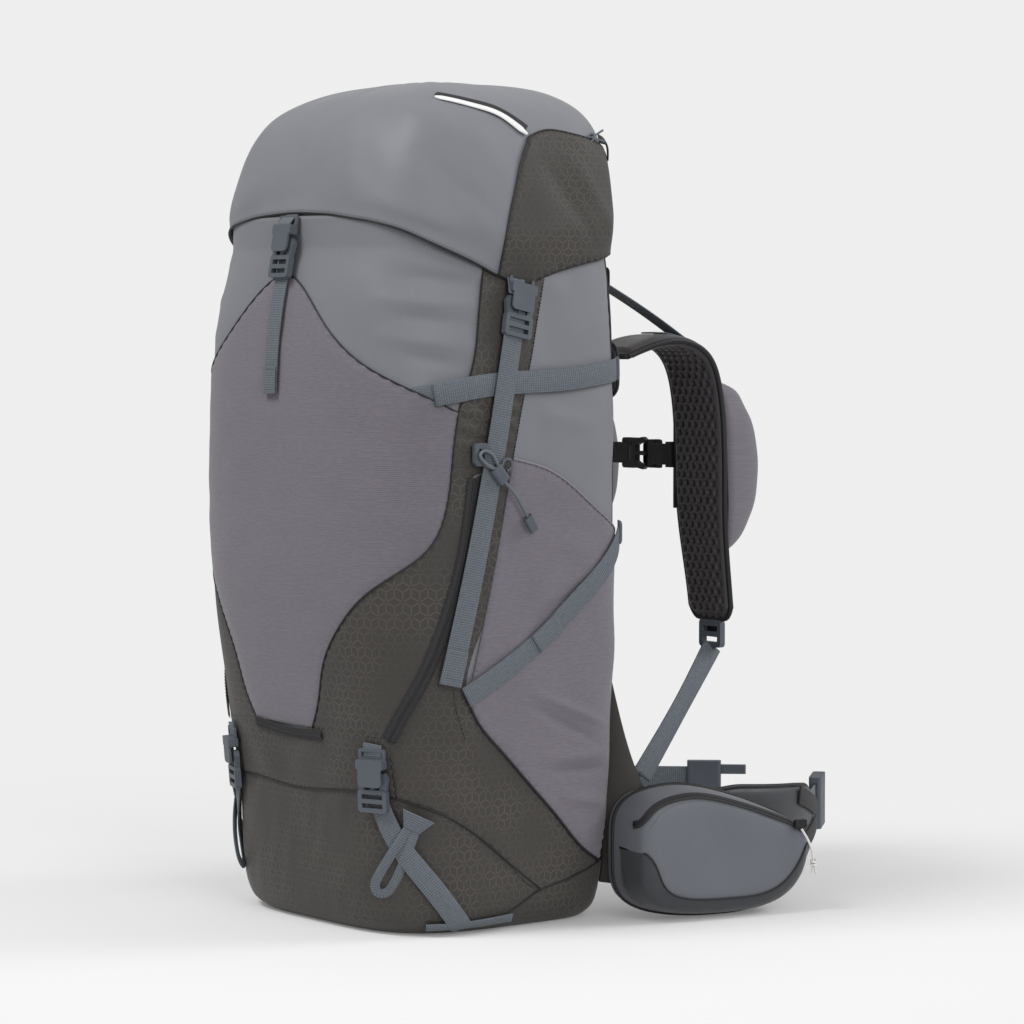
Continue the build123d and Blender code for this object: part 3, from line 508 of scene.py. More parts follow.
def make_stars():
    """Pressed rhombus pattern: in each cell of a hexagon lattice, six spokes from its middle.

    The cell is found by wrapping the place to two shifted rectangles and keeping the
    nearer middle; spokes are where the distance to one of three lines is small.
    """
    net, into, out = shader_group("stars", {"Place": PLACE, "Cell": FLOAT, "Base": COLOUR, "Line": COLOUR},
                                  {"Colour": COLOUR, "Height": FLOAT})
    scaled = net.vector("DIVIDE", into["Place"], None)
    cell = net.tree.nodes.new("ShaderNodeCombineXYZ")
    for index in range(3):
        net.tree.links.new(into["Cell"], cell.inputs[index])
    net.tree.links.new(cell.outputs[0], scaled.node.inputs[1])
    half = (0.5, 3 ** 0.5 / 2, 1.0)
    near = net.vector("WRAP", scaled, half, tuple(-v for v in half))
    far = net.vector("WRAP", net.vector("SUBTRACT", scaled, half), half, tuple(-v for v in half))
    near, far = (net.vector("MULTIPLY", v, (1, 1, 0)) for v in (near, far))
    near_length = net.vector("LENGTH", near, output=1)
    far_length = net.vector("LENGTH", far, output=1)
    pick = net.math("GREATER_THAN", near_length, far_length)
    spot = net.tree.nodes.new("ShaderNodeMix")
    spot.data_type = "VECTOR"
    for index, value in ((0, pick), (4, near), (5, far)):
        net.tree.links.new(value, spot.inputs[index])
    x, y, _ = net.split(net.vector("ABSOLUTE", spot.outputs[1]))
    slant = net.math("ABSOLUTE", net.math("SUBTRACT", net.math("MULTIPLY", x, 0.5),
                                          net.math("MULTIPLY", y, 0.866)))
    away = net.math("MINIMUM", x, slant)
    radius = net.math("MINIMUM", near_length, far_length)
    line = net.math("SUBTRACT", 1.0, net.span(away, 0.018, 0.05))
    line = net.math("MULTIPLY", line, net.span(radius, 0.07, 0.11))
    line = net.math("MULTIPLY", line, net.math("SUBTRACT", 1.0, net.span(radius, 0.53, 0.575)))
    worn = net.span(net.noise(into["Place"], 16.0, 2.0), 0.3, 0.72, 0.12, 1.0)
    line = net.math("MULTIPLY", line, worn)
    grain = net.noise(net.vector("MULTIPLY", into["Place"], (1500, 1500, 0)), 1.0, 1.0)
    soft = net.noise(into["Place"], 11.0, 2.0)
    shade = net.math("ADD", 1.0, net.math("ADD", net.swing(grain, 0.3),
                                          net.swing(soft, 0.3)))
    base = net.scale(into["Base"], shade)
    net.tree.links.new(net.mix(net.math("MULTIPLY", line, 0.55), base, into["Line"]), out["Colour"])
    net.tree.links.new(net.math("ADD", line, net.math("MULTIPLY", grain, 0.15)), out["Height"])
    return net.tree


def make_webbing():
    """Woven tape: ribs across its length crossed by ribs along it, painted paler on the crowns as a painted
    highlight and darker in the troughs as painted shade.
    """
    net, into, out = shader_group("tape", {"Place": PLACE, "Pitch": FLOAT, "Base": COLOUR, "Crown": COLOUR},
                                  {"Colour": COLOUR, "Height": FLOAT})
    parts = net.split(into["Place"])
    reach = net.math("DIVIDE", 2 * math.pi, into["Pitch"])
    across = net.math("SINE", net.math("MULTIPLY", parts[0], reach))
    along = net.math("SINE", net.math("MULTIPLY", parts[1], reach))
    height = net.math("ADD", net.math("MULTIPLY", along, 0.5), net.math("MULTIPLY", across, 0.3))
    wear = net.noise(net.vector("MULTIPLY", into["Place"], (500, 160, 0)), 1.0, 3.0)
    # colour follows the rib height: painted highlight on the crowns, painted shade in the troughs
    share = net.math("ADD", net.span(height, -0.5, 0.8, 0.0, 0.55),
                     net.swing(wear, 0.7))
    net.tree.links.new(net.mix(share, into["Base"], into["Crown"]), out["Colour"])
    net.tree.links.new(height, out["Height"])
    return net.tree


def make_grain():
    """Moulded surface: fine pits and a faint wide mottle."""
    net, into, out = shader_group("grain", {"Place": PLACE, "Base": COLOUR, "Amount": FLOAT},
                                  {"Colour": COLOUR, "Height": FLOAT, "Roughness": FLOAT})
    pits = net.noise(into["Place"], 1400.0, 2.0)
    mottle = net.noise(into["Place"], 70.0, 3.0)
    shade = net.math("ADD", 1.0, net.swing(mottle, into["Amount"]))
    base = net.scale(into["Base"], shade)
    net.tree.links.new(base, out["Colour"])
    net.tree.links.new(pits, out["Height"])
    net.tree.links.new(net.span(mottle, 0.3, 0.7, 0.4, 0.55), out["Roughness"])
    return net.tree


GROUPS = {"weave": make_weave(), "ribs": make_ribs(), "stars": make_stars(), "tape": make_webbing(),
          "grain": make_grain()}


def cloth_material(name, effect, base, values, roughness, bump, sheen=0.0):
    """A material whose colour and bump come from a shared effect; grain reads Object coordinates."""
    material = bpy.data.materials.new(name)
    material.use_nodes = True
    net = Net(material.node_tree)
    shader = material.node_tree.nodes["Principled BSDF"]
    shader.inputs["Roughness"].default_value = roughness
    shader.inputs["Specular IOR Level"].default_value = 0.35
    if sheen:
        shader.inputs["Sheen Weight"].default_value = sheen
        shader.inputs["Sheen Roughness"].default_value = 0.45
    if effect == "grain":
        where = net.node("ShaderNodeTexCoord", output="Object")
    else:
        where = net.node("ShaderNodeUVMap", uv_map="cloth")
    group = material.node_tree.nodes.new("ShaderNodeGroup")
    group.node_tree = GROUPS[effect]
    material.node_tree.links.new(where, group.inputs["Place"])
    group.inputs["Base"].default_value = linear(base)
    for key, value in values.items():
        group.inputs[key].default_value = linear(value) if isinstance(value, tuple) else value
    material.node_tree.links.new(group.outputs["Colour"], shader.inputs["Base Color"])
    if "Roughness" in group.outputs:
        material.node_tree.links.new(group.outputs["Roughness"], shader.inputs["Roughness"])
    raised = net.node("ShaderNodeBump", {"Strength": bump[0], "Distance": bump[1],
                                         "Height": group.outputs["Height"]})
    material.node_tree.links.new(raised, shader.inputs["Normal"])
    material.diffuse_color = linear(base)
    return material


def plain_material(name, base, roughness, metallic=0.0, amount=0.2):
    """A moulded or metal finish with a fine grain on Object coordinates."""
    material = cloth_material(name, "grain", base, {"Amount": amount}, roughness, (0.08, 0.0004))
    material.node_tree.nodes["Principled BSDF"].inputs["Metallic"].default_value = metallic
    return material


# effect, colour, the effect's values, roughness, (bump strength, bump distance), sheen
CLOTHS = {
    "grey_nylon": ("weave", (119, 121, 127), {"Pitch": 0.0011, "Slub": 0.12}, 0.52, (0.12, 0.0003), 0.15),
    "pocket_nylon": ("weave", (100, 103, 110), {"Pitch": 0.0011, "Slub": 0.14}, 0.5, (0.12, 0.0003), 0.15),
    "stretch_knit": ("ribs", (114, 109, 118), {"Pitch": 0.0017, "Line": (97, 93, 101)},
                     0.8, (0.35, 0.0005), 0.25),
    "star_nylon": ("stars", (61, 58, 55), {"Cell": 0.0148, "Line": (100, 94, 87)},
                   0.62, (0.25, 0.0003), 0.1),
    "dark_nylon": ("weave", (62, 59, 56), {"Pitch": 0.0012, "Slub": 0.2}, 0.62, (0.15, 0.0003), 0.1),
    "zip_tape": ("tape", (42, 41, 43), {"Pitch": 0.0014, "Crown": (60, 59, 62)}, 0.7, (0.3, 0.0003)),
    "grey_webbing": ("tape", (84, 91, 98), {"Pitch": 0.0021, "Crown": (122, 130, 138)},
                     0.66, (0.5, 0.0005), 0.1),
    "black_webbing": ("tape", (30, 30, 33), {"Pitch": 0.0021, "Crown": (54, 54, 58)},
                      0.68, (0.5, 0.0005), 0.1),
    "dark_binding": ("grain", (34, 34, 37), {"Amount": 0.3}, 0.7, (0.2, 0.0004)),
    "thread": ("grain", (20, 20, 22), {"Amount": 0.3}, 0.7, (0.1, 0.0002)),
    "spacer_mesh": ("grain", (66, 62, 65), {"Amount": 0.5}, 0.85, (0.4, 0.0006), 0.2),
    "foam_cloth": ("grain", (56, 58, 62), {"Amount": 0.3}, 0.75, (0.3, 0.0004), 0.2),
    # near-white: a painted highlight along the lid's grey nylon zip flap
    "painted_highlight_strip": ("grain", (232, 232, 232), {"Amount": 0.06}, 0.5, (0.1, 0.0003)),
    "pale_cord": ("grain", (222, 221, 216), {"Amount": 0.25}, 0.7, (0.5, 0.0005)),
    "dark_cord": ("grain", (98, 105, 112), {"Amount": 0.4}, 0.7, (0.5, 0.0005)),
    "stretch_knit_plain": ("grain", (126, 122, 130), {"Amount": 0.2}, 0.8, (0.3, 0.0004), 0.2),
    "dark_nylon_hem": ("grain", (58, 56, 54), {"Amount": 0.3}, 0.65, (0.3, 0.0004), 0.1),
}
# colour, roughness, metallic
MOULDINGS = {
    "grey_plastic": ((84, 90, 98), 0.42),
    "black_plastic": ((30, 31, 33), 0.42),
    "frame_plastic": ((44, 46, 50), 0.5),
    "stay_aluminium": ((186, 188, 190), 0.35, 1.0),
}
MATERIALS = {name: cloth_material(name, *finish) for name, finish in CLOTHS.items()}
MATERIALS.update({name: plain_material(name, *finish) for name, finish in MOULDINGS.items()})
SLOTS = {"pocket_nylon": "grey_nylon", "star_nylon": "dark_nylon", "zip_tape": "dark_nylon",
         "dark_binding": "dark_nylon", "thread": "dark_nylon", "foam_cloth": "spacer_mesh",
         "painted_highlight_strip": "grey_nylon", "stretch_knit_plain": "stretch_knit", "dark_nylon_hem": "dark_nylon"}
SLOTS = {key: SLOTS.get(key, key) for key in MATERIALS}


# ---- floor and light ------------------------------------------------------------------------------
def add_studio():
    """Pale floor that fades into an even pale surround, a main lamp and two weaker ones."""
    corners = 12.0 * np.array([(-1, -1, 0), (1, -1, 0), (1, 1, 0), (-1, 1, 0)])
    mesh = bpy.data.meshes.new("floor")
    mesh.from_pydata((corners - (0, 0, 0.0005)).tolist(), [], [(0, 1, 2, 3)])
    floor = bpy.data.objects.new("floor", mesh)
    bpy.context.scene.collection.objects.link(floor)
    material = bpy.data.materials.new("floor_paper")
    material.use_nodes = True
    net = Net(material.node_tree)
    shader = material.node_tree.nodes["Principled BSDF"]
    shader.inputs["Base Color"].default_value = (0.83, 0.83, 0.83, 1)
    shader.inputs["Roughness"].default_value = 0.95
    shader.inputs["Specular IOR Level"].default_value = 0.0
    away = net.vector("LENGTH", net.node("ShaderNodeTexCoord", output="Object"), output=1)
    material.node_tree.links.new(net.span(away, 0.36, 1.15, 0.85, 0.0), shader.inputs["Alpha"])
    floor.data.materials.append(material)
    world = bpy.data.worlds.new("surround")
    world.use_nodes = True
    bpy.context.scene.world = world
    net = Net(world.node_tree)
    background = world.node_tree.nodes["Background"]
    seen = net.node("ShaderNodeLightPath")
    background.inputs["Color"].default_value = (1, 1, 1, 1)
    strength = net.math("MULTIPLY_ADD", seen, SURROUND_SEEN - SURROUND_LIGHT, SURROUND_LIGHT)
    world.node_tree.links.new(strength, background.inputs["Strength"])
    for name, place, size, power in LAMPS:
        data = bpy.data.lights.new(name, "AREA")
        data.shape, data.size, data.energy = "DISK", size, power
        lamp = bpy.data.objects.new(name, data)
        bpy.context.scene.collection.objects.link(lamp)
        lamp.location = place
        lamp.rotation_euler = (Vector(place) - Vector((0, 0, 0.35))).to_track_quat("Z", "Y").to_euler()
    view = bpy.context.scene.view_settings
    view.view_transform, view.look = "Standard", "None"


SURROUND_SEEN, SURROUND_LIGHT = 0.858, 0.46
LAMPS = [("key", (-0.5, -2.3, 3.5), 1.6, 88), ("fill", (3.4, -0.6, 1.6), 2.4, 46),
         ("rim", (1.5, 2.6, 2.2), 1.6, 38)]
add_studio()


# ---- bag cloth --------------------------------------------------------------------------------
def mirrored(side, places):
    """The same places on the right (1) or the left (-1)."""
    return [(side * s, z) for s, z in places]


def patch(name, left, right, bottom, top, material, rows=90, columns=60, proud=1.2 * MM, tuck=0.4 * MM,
          roll=4 * MM, relief=None, body="bag", surface=bag, thickness=0.8 * MM, flip=False):
    """A cloth panel inside four edge curves in (s, z), by blending each pair of edges.

    Place = left-right blend + bottom-top blend - corner blend. The sheet lies at tuck
    over the surface at its edges and rises to proud over the width roll.
    """
    left, right = run(left, rows), run(right, rows)
    bottom = run(bottom, columns) if bottom is not None else None
    top = run(top, columns) if top is not None else None
    u, v = np.linspace(0, 1, columns)[None, :, None], np.linspace(0, 1, rows)[:, None, None]
    place = left[:, None] * (1 - u) + right[:, None] * u
    if bottom is not None:
        place = place + (bottom - (left[0] * (1 - u[0]) + right[0] * u[0]))[None] * (1 - v)
    if top is not None:
        place = place + (top - (left[-1] * (1 - u[0]) + right[-1] * u[0]))[None] * v
    s, z = place[..., 0], place[..., 1]
    rim = np.concatenate([place[0], place[-1], place[:, 0], place[:, -1]])
    near = np.full(s.shape, 1.0)
    for start in range(0, len(rim), 4):
        near = np.minimum(near, np.hypot(s - rim[start, 0], z - rim[start, 1]))
    out = tuck + (proud - tuck) * smooth(near / roll)
    if relief is not None:
        out = out + relief(s, z) * smooth(near / (2.5 * roll))
    faces = grid_faces(rows, columns)
    piece = mesh_piece(name, surface(s, z, out), faces[:, ::-1] if flip else faces, body, material,
                       np.stack([s * (-1 if flip else 1), z], -1))
    return thicken(piece, thickness)


SIDE_BACK = side_spot(99.5 * MM, 0.3)[0]
STRIPE_LEFT = [(0.1985, 0.3950), (0.2015, 0.4290), (0.2060, 0.4570), (0.2149, 0.4811), (0.2196, 0.4937),
               (0.2236, 0.5104), (0.2283, 0.5455), (0.2330, 0.5754), (0.2370, 0.604)]
STRIPE_RIGHT = [(0.2622, 0.4165), (0.2732, 0.4645), (0.2851, 0.5097), (0.2930, 0.5409), (0.3024, 0.5721),
                (0.3110, 0.604)]
ZIP_LINE = [(0.1400, 0.1740), (0.1495, 0.1903), (0.1700, 0.2230), (0.1930, 0.2750), (0.2098, 0.3300),
            (0.2205, 0.4000)]
PANEL_RIGHT = [(0.0359, 0.1777), (0.0509, 0.2035), (0.0611, 0.2314), (0.0911, 0.2726), (0.1155, 0.2959),
               (0.1534, 0.3211), (0.1810, 0.3437), (0.1960, 0.3822), (0.2015, 0.4290), (0.2060, 0.4570)]
POCKET_SLOPE = [front_spot(0.0, 0.577), front_spot(0.075, 0.528), front_spot(0.126, 0.492),
                side_spot(-0.123, 0.473), (0.2060, 0.4570)]
POCKET_FOOT = [(0.2157, 0.2082), (0.2267, 0.1883), (0.2519, 0.1624), (0.2882, 0.1285), (0.3261, 0.0940),
               (0.3608, 0.0641), (0.3850, 0.0520)]
POCKET_FRONT = [(0.2157, 0.2082), (0.2320, 0.2750), (0.2480, 0.3460), (0.2622, 0.4165)]
POCKET_TOP = [(0.2622, 0.4165), (0.2803, 0.4125), (0.3032, 0.4054), (0.3316, 0.3888), (0.3623, 0.3669),
              (SIDE_BACK - 0.004, 0.3450)]
FLAP_EDGE = [(0.1449, 0.1222), (0.1794, 0.1132), (0.2204, 0.0933), (0.2640, 0.0625), (0.3064, 0.0340),
             (0.3363, 0.0395), (0.3850, 0.0520)]
BASE_SEAM = [(0.2200, 0.0045), (0.2480, 0.0096), (0.2732, 0.0169), (0.3064, 0.0330), (0.3363, 0.0390),
             (0.3742, 0.0488), (0.3980, 0.0540)]
BAND_LOW = [(-0.1449, 0.1222), (-0.1100, 0.1255), (0.0, 0.1212), (0.1100, 0.1255), (0.1449, 0.1222)]
MID = -0.013


def front_swell(s, z):
    """Soft uneven fullness of the front cloth above its pocket."""
    a = np.abs(s)
    pulls = (crease(a, z, (0.245, 0.578), (0.125, 0.592), 0.0060, 1.5 * MM)
             - crease(a, z, (0.240, 0.566), (0.140, 0.574), 0.0050, 1.3 * MM)
             + crease(a, z, (0.236, 0.548), (0.120, 0.556), 0.0065, 1.6 * MM)
             - crease(a, z, (0.232, 0.532), (0.135, 0.540), 0.0050, 1.2 * MM)
             + crease(a, z, (0.230, 0.512), (0.120, 0.524), 0.0070, 1.4 * MM)
             - crease(a, z, (0.222, 0.496), (0.150, 0.506), 0.0050, 1.0 * MM))
    swells = 1.6 * MM * ripple(s, z, 0.16, 3) + 0.6 * MM * ripple(s, z, 0.05, 4)
    return (pulls + swells) * smooth((z - 0.44) / 0.08) * smooth((0.603 - z) / 0.03)


def side_swell(s, z):
    """Fullness of the side cloth, with pulls towards the strap ends."""
    a = np.abs(s)
    folds = (crease(a, z, (0.245, 0.50), (0.37, 0.485), 0.010, 1.8 * MM)
             + crease(a, z, (0.25, 0.465), (0.37, 0.44), 0.009, 1.4 * MM)
             - crease(a, z, (0.24, 0.483), (0.38, 0.487), 0.011, 2.4 * MM)
             + crease(a, z, (0.27, 0.59), (0.33, 0.56), 0.012, 1.5 * MM))
    loose = folds + 1.2 * MM * ripple(s, z, 0.14, 5) + 0.4 * MM * ripple(s, z, 0.04, 6)
    under = -2.6 * MM * smooth((0.345 - z) / 0.03)
    return loose * smooth((z - 0.37) / 0.06) * smooth((a - 0.285) / 0.02) * smooth((0.603 - z) / 0.03) + under


CLOTH_LOW, CLOTH_HIGH = 0.142, 0.628   # levels that the front and side cloth run between
FRONT_EDGE = 0.2440                    # place of the seam between them, under the stripe


def build_skins():
    """The bag's own cloth under the pockets: front, sides and back."""
    edge = [(FRONT_EDGE, CLOTH_LOW), (FRONT_EDGE, CLOTH_HIGH)]
    front = patch("front_cloth", mirrored(-1, edge), edge, None, None, "grey_nylon",
                  150, 130, 0.3 * MM, 0.3 * MM, relief=front_swell)
    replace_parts(front, "bag_front_panel")
    for side, hand in SIDES:
        tucked = FRONT_EDGE - 0.002
        skin = patch(f"side_cloth_{hand}", mirrored(side, [(tucked, CLOTH_LOW), (tucked, CLOTH_HIGH)]),
                     mirrored(side, [(SIDE_BACK, CLOTH_LOW), (SIDE_BACK, CLOTH_HIGH)]), None, None,
                     "grey_nylon",
                     150, 90, 0.3 * MM, 0.3 * MM, relief=side_swell, flip=side < 0)
        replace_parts(skin, f"bag_side_panel_{hand}")
    turns = np.linspace(SIDE_BACK - 0.002, 2 * HALF_AROUND - SIDE_BACK + 0.002, 110)
    s, z = np.meshgrid(turns, np.linspace(0.118, 0.6015, 130))
    wrapped = np.where(s > HALF_AROUND, s - 2 * HALF_AROUND, s)
    back = mesh_piece("back_cloth", bag(wrapped, z, 0.0), grid_faces(*s.shape), "bag", "dark_nylon",
                      np.stack([s, z], -1))
    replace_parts(thicken(back, LINING_CLOTH), "bag_back_panel")


def build_base():
    """Base tub: walls up to the side flaps and a closed bottom, one sheet with its poles shut."""
    rows = np.r_[np.linspace(0.13, 0.012, 40), np.linspace(0.010, 0.0006, 8)]
    columns = 260
    around = np.linspace(-HALF_AROUND, HALF_AROUND, columns, endpoint=False)
    s, z = np.meshgrid(around, rows)
    walls = bag(s, z, 0.5 * MM + 0.35 * MM * ripple(s, z, 0.03, 8) * smooth(z / 0.03))
    rim = walls[-1]
    shares = np.linspace(0.96, 0.02, 14)[:, None, None]
    centre = np.array([0, -0.012, 0.0])
    bottom = centre + (rim[None] - centre) * shares
    bottom[..., 2] = 0.0004 - 0.0003 * (1 - shares[..., 0])
    points = np.concatenate([walls.reshape(-1, 3), bottom.reshape(-1, 3), centre[None] + (0, 0, 0.0001)])
    total_rows = len(rows) + len(shares)
    faces = grid_faces(total_rows, columns, wrap_columns=True)[:, ::-1].tolist()
    last = len(points) - 1
    start = (total_rows - 1) * columns
    faces += [[last, start + (j + 1) % columns, start + j] for j in range(columns)]
    uv = np.concatenate([np.stack([s, z], -1).reshape(-1, 2), bottom[..., :2].reshape(-1, 2),
                         centre[None, :2]])
    tub = mesh_piece("base_tub", points, faces, "bag", "star_nylon", uv)
    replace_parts(thicken(tub, LINING_CLOTH), "bag_base")


def knit_relief(s, z):
    """The stretch front pocket: gentle fullness and a shallow sag to its lower hem."""
    return (0.8 * MM * ripple(s, z, 0.15, 11) + 0.25 * MM * ripple(s, z, 0.035, 12)
            + 2.2 * MM * np.exp(-((z - 0.3) / 0.12) ** 2) * np.exp(-((s - MID) / 0.10) ** 2))


def side_pocket_relief(s, z):
    """Creases of the side pocket: pulls from the lower strap, a fold at its foot and its middle."""
    a = np.abs(s)
    front = side_spot(-0.03, 0.2)[0]
    folds = (crease(a, z, (front + 0.015, 0.212), (front + 0.115, 0.175), 0.0045, 2.6 * MM)
             - crease(a, z, (front + 0.012, 0.201), (front + 0.105, 0.160), 0.0040, 2.0 * MM)
             + crease(a, z, (front + 0.03, 0.150), (front + 0.125, 0.150), 0.0060, 2.6 * MM)
             - crease(a, z, (front + 0.04, 0.138), (front + 0.120, 0.136), 0.0042, 2.2 * MM)
             + crease(a, z, (front + 0.055, 0.116), (front + 0.125, 0.104), 0.0060, 2.4 * MM)
             + crease(a, z, (front - 0.01, 0.25), (front + 0.05, 0.33), 0.010, 1.6 * MM)
             + crease(a, z, (front + 0.01, 0.27), (front + 0.09, 0.31), 0.006, -1.4 * MM)
             + crease(a, z, (front + 0.02, 0.35), (front + 0.09, 0.33), 0.012, 1.6 * MM))
    return 1.35 * folds + 0.9 * MM * ripple(s, z, 0.07, 14)


def build_front():
    """Stretch front pocket with its hem, the dark wings beside it and the low band."""
    slope = mirrored(-1, POCKET_SLOPE)[::-1] + POCKET_SLOPE[1:]
    left_side = [(2 * MID * (1 - float(smooth((z - 0.2) / 0.15))) - s, z) for s, z in PANEL_RIGHT]
    pocket = patch("front_pocket_cloth", left_side, PANEL_RIGHT, None, slope, "stretch_knit", 170, 150,
                   2.4 * MM, 1.4 * MM, 8 * MM, knit_relief, thickness=1.0 * MM)
    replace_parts(pocket, "front_pocket")
    seam_line("front_pocket_top_piping", slope, radius=0.8 * MM, out=1.8 * MM, count=240)
    for side, hand, inner in ((1, "right", PANEL_RIGHT), (-1, "left", left_side)):
        seam_line(f"front_pocket_seam_{hand}", inner, radius=0.7 * MM, out=2.0 * MM)
        patch(f"front_wing_{hand}", inner[:-1], mirrored(side, ZIP_LINE + [(0.2185, 0.4262)]), None, None,
              "star_nylon", 120, 60, 2.0 * MM, 0.9 * MM, 6 * MM,
              lambda s, z: 0.7 * MM * ripple(s, z, 0.06, 17), flip=side < 0)
    high = [(-0.140, 0.176), (left_side[0][0], 0.1785), (MID, 0.1735), (PANEL_RIGHT[0][0], 0.1785),
            (0.140, 0.176)]
    patch("low_band", [BAND_LOW[0], high[0]], [BAND_LOW[-1], high[-1]], BAND_LOW, high, "star_nylon", 40, 140,
          1.6 * MM, 0.9 * MM, 5 * MM, lambda s, z: 0.6 * MM * ripple(s, z, 0.05, 18))
    seam_line("low_band_seam", BAND_LOW, radius=0.8 * MM, out=1.3 * MM)


def zipper(name, places, body="bag", width=13 * MM, out=2.6 * MM, surface=bag, count=150, coil=True):
    """A zip: a flat tape along a line with a raised coil in its middle and a stitched row on each edge."""
    line = run(places, count)
    path = surface(line[:, 0], line[:, 1], out)
    normals = outward(surface, line[:, 0], line[:, 1], out)
    tape = ribbon(name, path, normals, width, 0.8 * MM, body, "zip_tape")
    if coil:
        tube(name + "_coil", path + normals * 1.0 * MM, 1.1 * MM, body, "dark_binding", 8, 0.7, normals)
    stitches(name + "_stitches_inner", path + normals * 0.8 * MM, normals, body, offset=-width * 0.42)
    stitches(name + "_stitches_outer", path + normals * 0.8 * MM, normals, body, offset=width * 0.42)
    return tape


def stripe_relief(s, z):
    """Side stripe: soft swells, and short puckers where the upper compression strap pulls across."""
    puckers = 0.8 * MM * np.exp(-((z - 0.452) / 0.035) ** 2) * np.sin((z + 0.25 * np.abs(s)) * 420)
    return 0.5 * MM * ripple(s, z, 0.04, 21) + puckers


def flap_relief(s, z):
    """Side flap: soft swells and one crease down to the base."""
    return (0.8 * MM * ripple(s, z, 0.09, 23)
            + crease(np.abs(s), z, (0.20, 0.20), (0.25, 0.12), 0.012, 1.2 * MM))


def build_sides():
    """Stripe, side flap, side pocket and the long corner zip of each side."""
    for side, hand in SIDES:
        def own(places):
            return mirrored(side, places)
        flip = side < 0
        patch(f"side_stripe_{hand}", own(STRIPE_LEFT), own(STRIPE_RIGHT), None, None, "star_nylon",
              110, 40, 1.5 * MM, 0.8 * MM, 3 * MM, stripe_relief, flip=flip)
        for edge, places in (("front", STRIPE_LEFT), ("back", STRIPE_RIGHT)):
            line = run(own(places), 160)
            path = bag(line[:, 0], line[:, 1], 1.7 * MM)
            normals = outward(bag, line[:, 0], line[:, 1], 1.7 * MM)
            stitches(f"side_stripe_{edge}_stitches_{hand}", path, normals, "bag", pitch=3.0 * MM,
                     size=0.55 * MM)
            seam_line(f"side_stripe_{edge}_seam_{hand}", own(places), radius=0.6 * MM, out=0.9 * MM)
        flap_left = [FLAP_EDGE[0], (0.1405, 0.150)] + ZIP_LINE
        patch(f"side_flap_{hand}", own(flap_left), own(POCKET_FOOT[::-1] + POCKET_FRONT[1:]), own(FLAP_EDGE),
              None, "star_nylon", 150, 90, 1.5 * MM, 0.8 * MM, 4 * MM, flap_relief, flip=flip)
        seam_line(f"side_flap_seam_{hand}", own(FLAP_EDGE[:5]), radius=0.9 * MM, out=1.7 * MM)
        seam_line(f"base_seam_{hand}", own(BASE_SEAM), radius=1.0 * MM, out=1.2 * MM)
        back_edge = [POCKET_FOOT[-1], (SIDE_BACK - 0.006, 0.09), (SIDE_BACK - 0.004, 0.2), POCKET_TOP[-1]]
        pocket = patch(f"side_pocket_{hand}", own(POCKET_FRONT), own(back_edge), own(POCKET_FOOT),
                       own(POCKET_TOP), "stretch_knit", 132, 100, 2.6 * MM, 1.2 * MM, 5 * MM,
                       side_pocket_relief, thickness=1.0 * MM, flip=flip)
        if side > 0:
            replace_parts(pocket, "side_pockets")
        seam_line(f"side_pocket_hem_{hand}", own(POCKET_TOP), radius=1.0 * MM, out=2.2 * MM,
                  material="stretch_knit_plain")
        seam_line(f"side_pocket_foot_{hand}", own(POCKET_FOOT), radius=1.0 * MM, out=2.6 * MM, count=300)
        zipper(f"corner_zip_{hand}", own(ZIP_LINE), out=2.4 * MM, width=13 * MM)
        seam_line(f"side_back_seam_{hand}", own([(SIDE_BACK, 0.03), (SIDE_BACK, 0.3), (SIDE_BACK, 0.6)]),
                  radius=1.6 * MM, out=0.8 * MM)
    zipper("low_zip", [(-0.0625, 0.1765), (-0.0043, 0.1715), (0.0515, 0.1722)], width=9 * MM,
           out=2.6 * MM)


build_skins()
build_base()
build_front()
build_sides()


# ---- lid ------------------------------------------------------------------------------------------
LID_RISE = 0.30              # cloth length that the lid's step 0 to 1 stands for
HEM_TURNS = [0.0, 0.124, 0.367, 0.484, 0.656, 0.800, 0.954, 1.075, 1.184, 1.285, 1.448, 1.683, 1.884, 2.136,
             2.6, 3.1416]
HEM_HEIGHTS = [0.6313, 0.6309, 0.6288, 0.6259, 0.6217, 0.6146, 0.6017, 0.5923, 0.5839, 0.5749, 0.5665, 0.5798,
               0.5879, 0.5951, 0.598, 0.598]


def lid_hem(s):
    """t of the lid's lower edge: it arches over the front, dips at the sides and rises to the back."""
    turn = np.abs(turn_of(np.asarray(s, float)))
    height = np.mean([np.interp(np.abs(turn + shift), HEM_TURNS, HEM_HEIGHTS)
                      for shift in np.linspace(-0.05, 0.05, 7)], 0)
    return lid_step_at(height) * LID_RISE


def lid(s, t, out=0.0):
    """Point of the lid at (s, t): s round the bag, t up the cloth from the lowest ring."""
    t = np.asarray(t, float)
    drawn = 1 - smooth((t - lid_hem(s)) / 0.045)
    pull = (0.6 + 3.4 * np.sin(turn_of(s)) ** 2) * MM
    return lid_point(turn_of(s), t / LID_RISE, out - pull * drawn)


def lid_spot(x, y, z):
    """(s, t) of the lid at a point near it."""
    turn = math.atan2(x, -y)
    return (math.copysign(float(np.interp(abs(turn), TURNS, AROUND)), turn), float(lid_step_at(z)) * LID_RISE)


def lid_relief(s, t):
    """Loose cloth of the lid: broad swells, two low dents over the front and a slack crown."""
    a = np.abs(s)
    return (1.3 * MM * ripple(s, t, 0.13, 31) + 0.4 * MM * ripple(s, t, 0.045, 32)
            + crease(s, t, (0.10, 0.10), (0.23, 0.05), 0.012, 1.6 * MM)
            + crease(s, t, (-0.16, 0.08), (-0.02, 0.12), 0.02, 1.4 * MM)
            + crease(a, t, (0.13, 0.19), (0.25, 0.15), 0.012, 1.4 * MM)
            - crease(a, t, (0.16, 0.145), (0.26, 0.06), 0.010, 1.2 * MM))


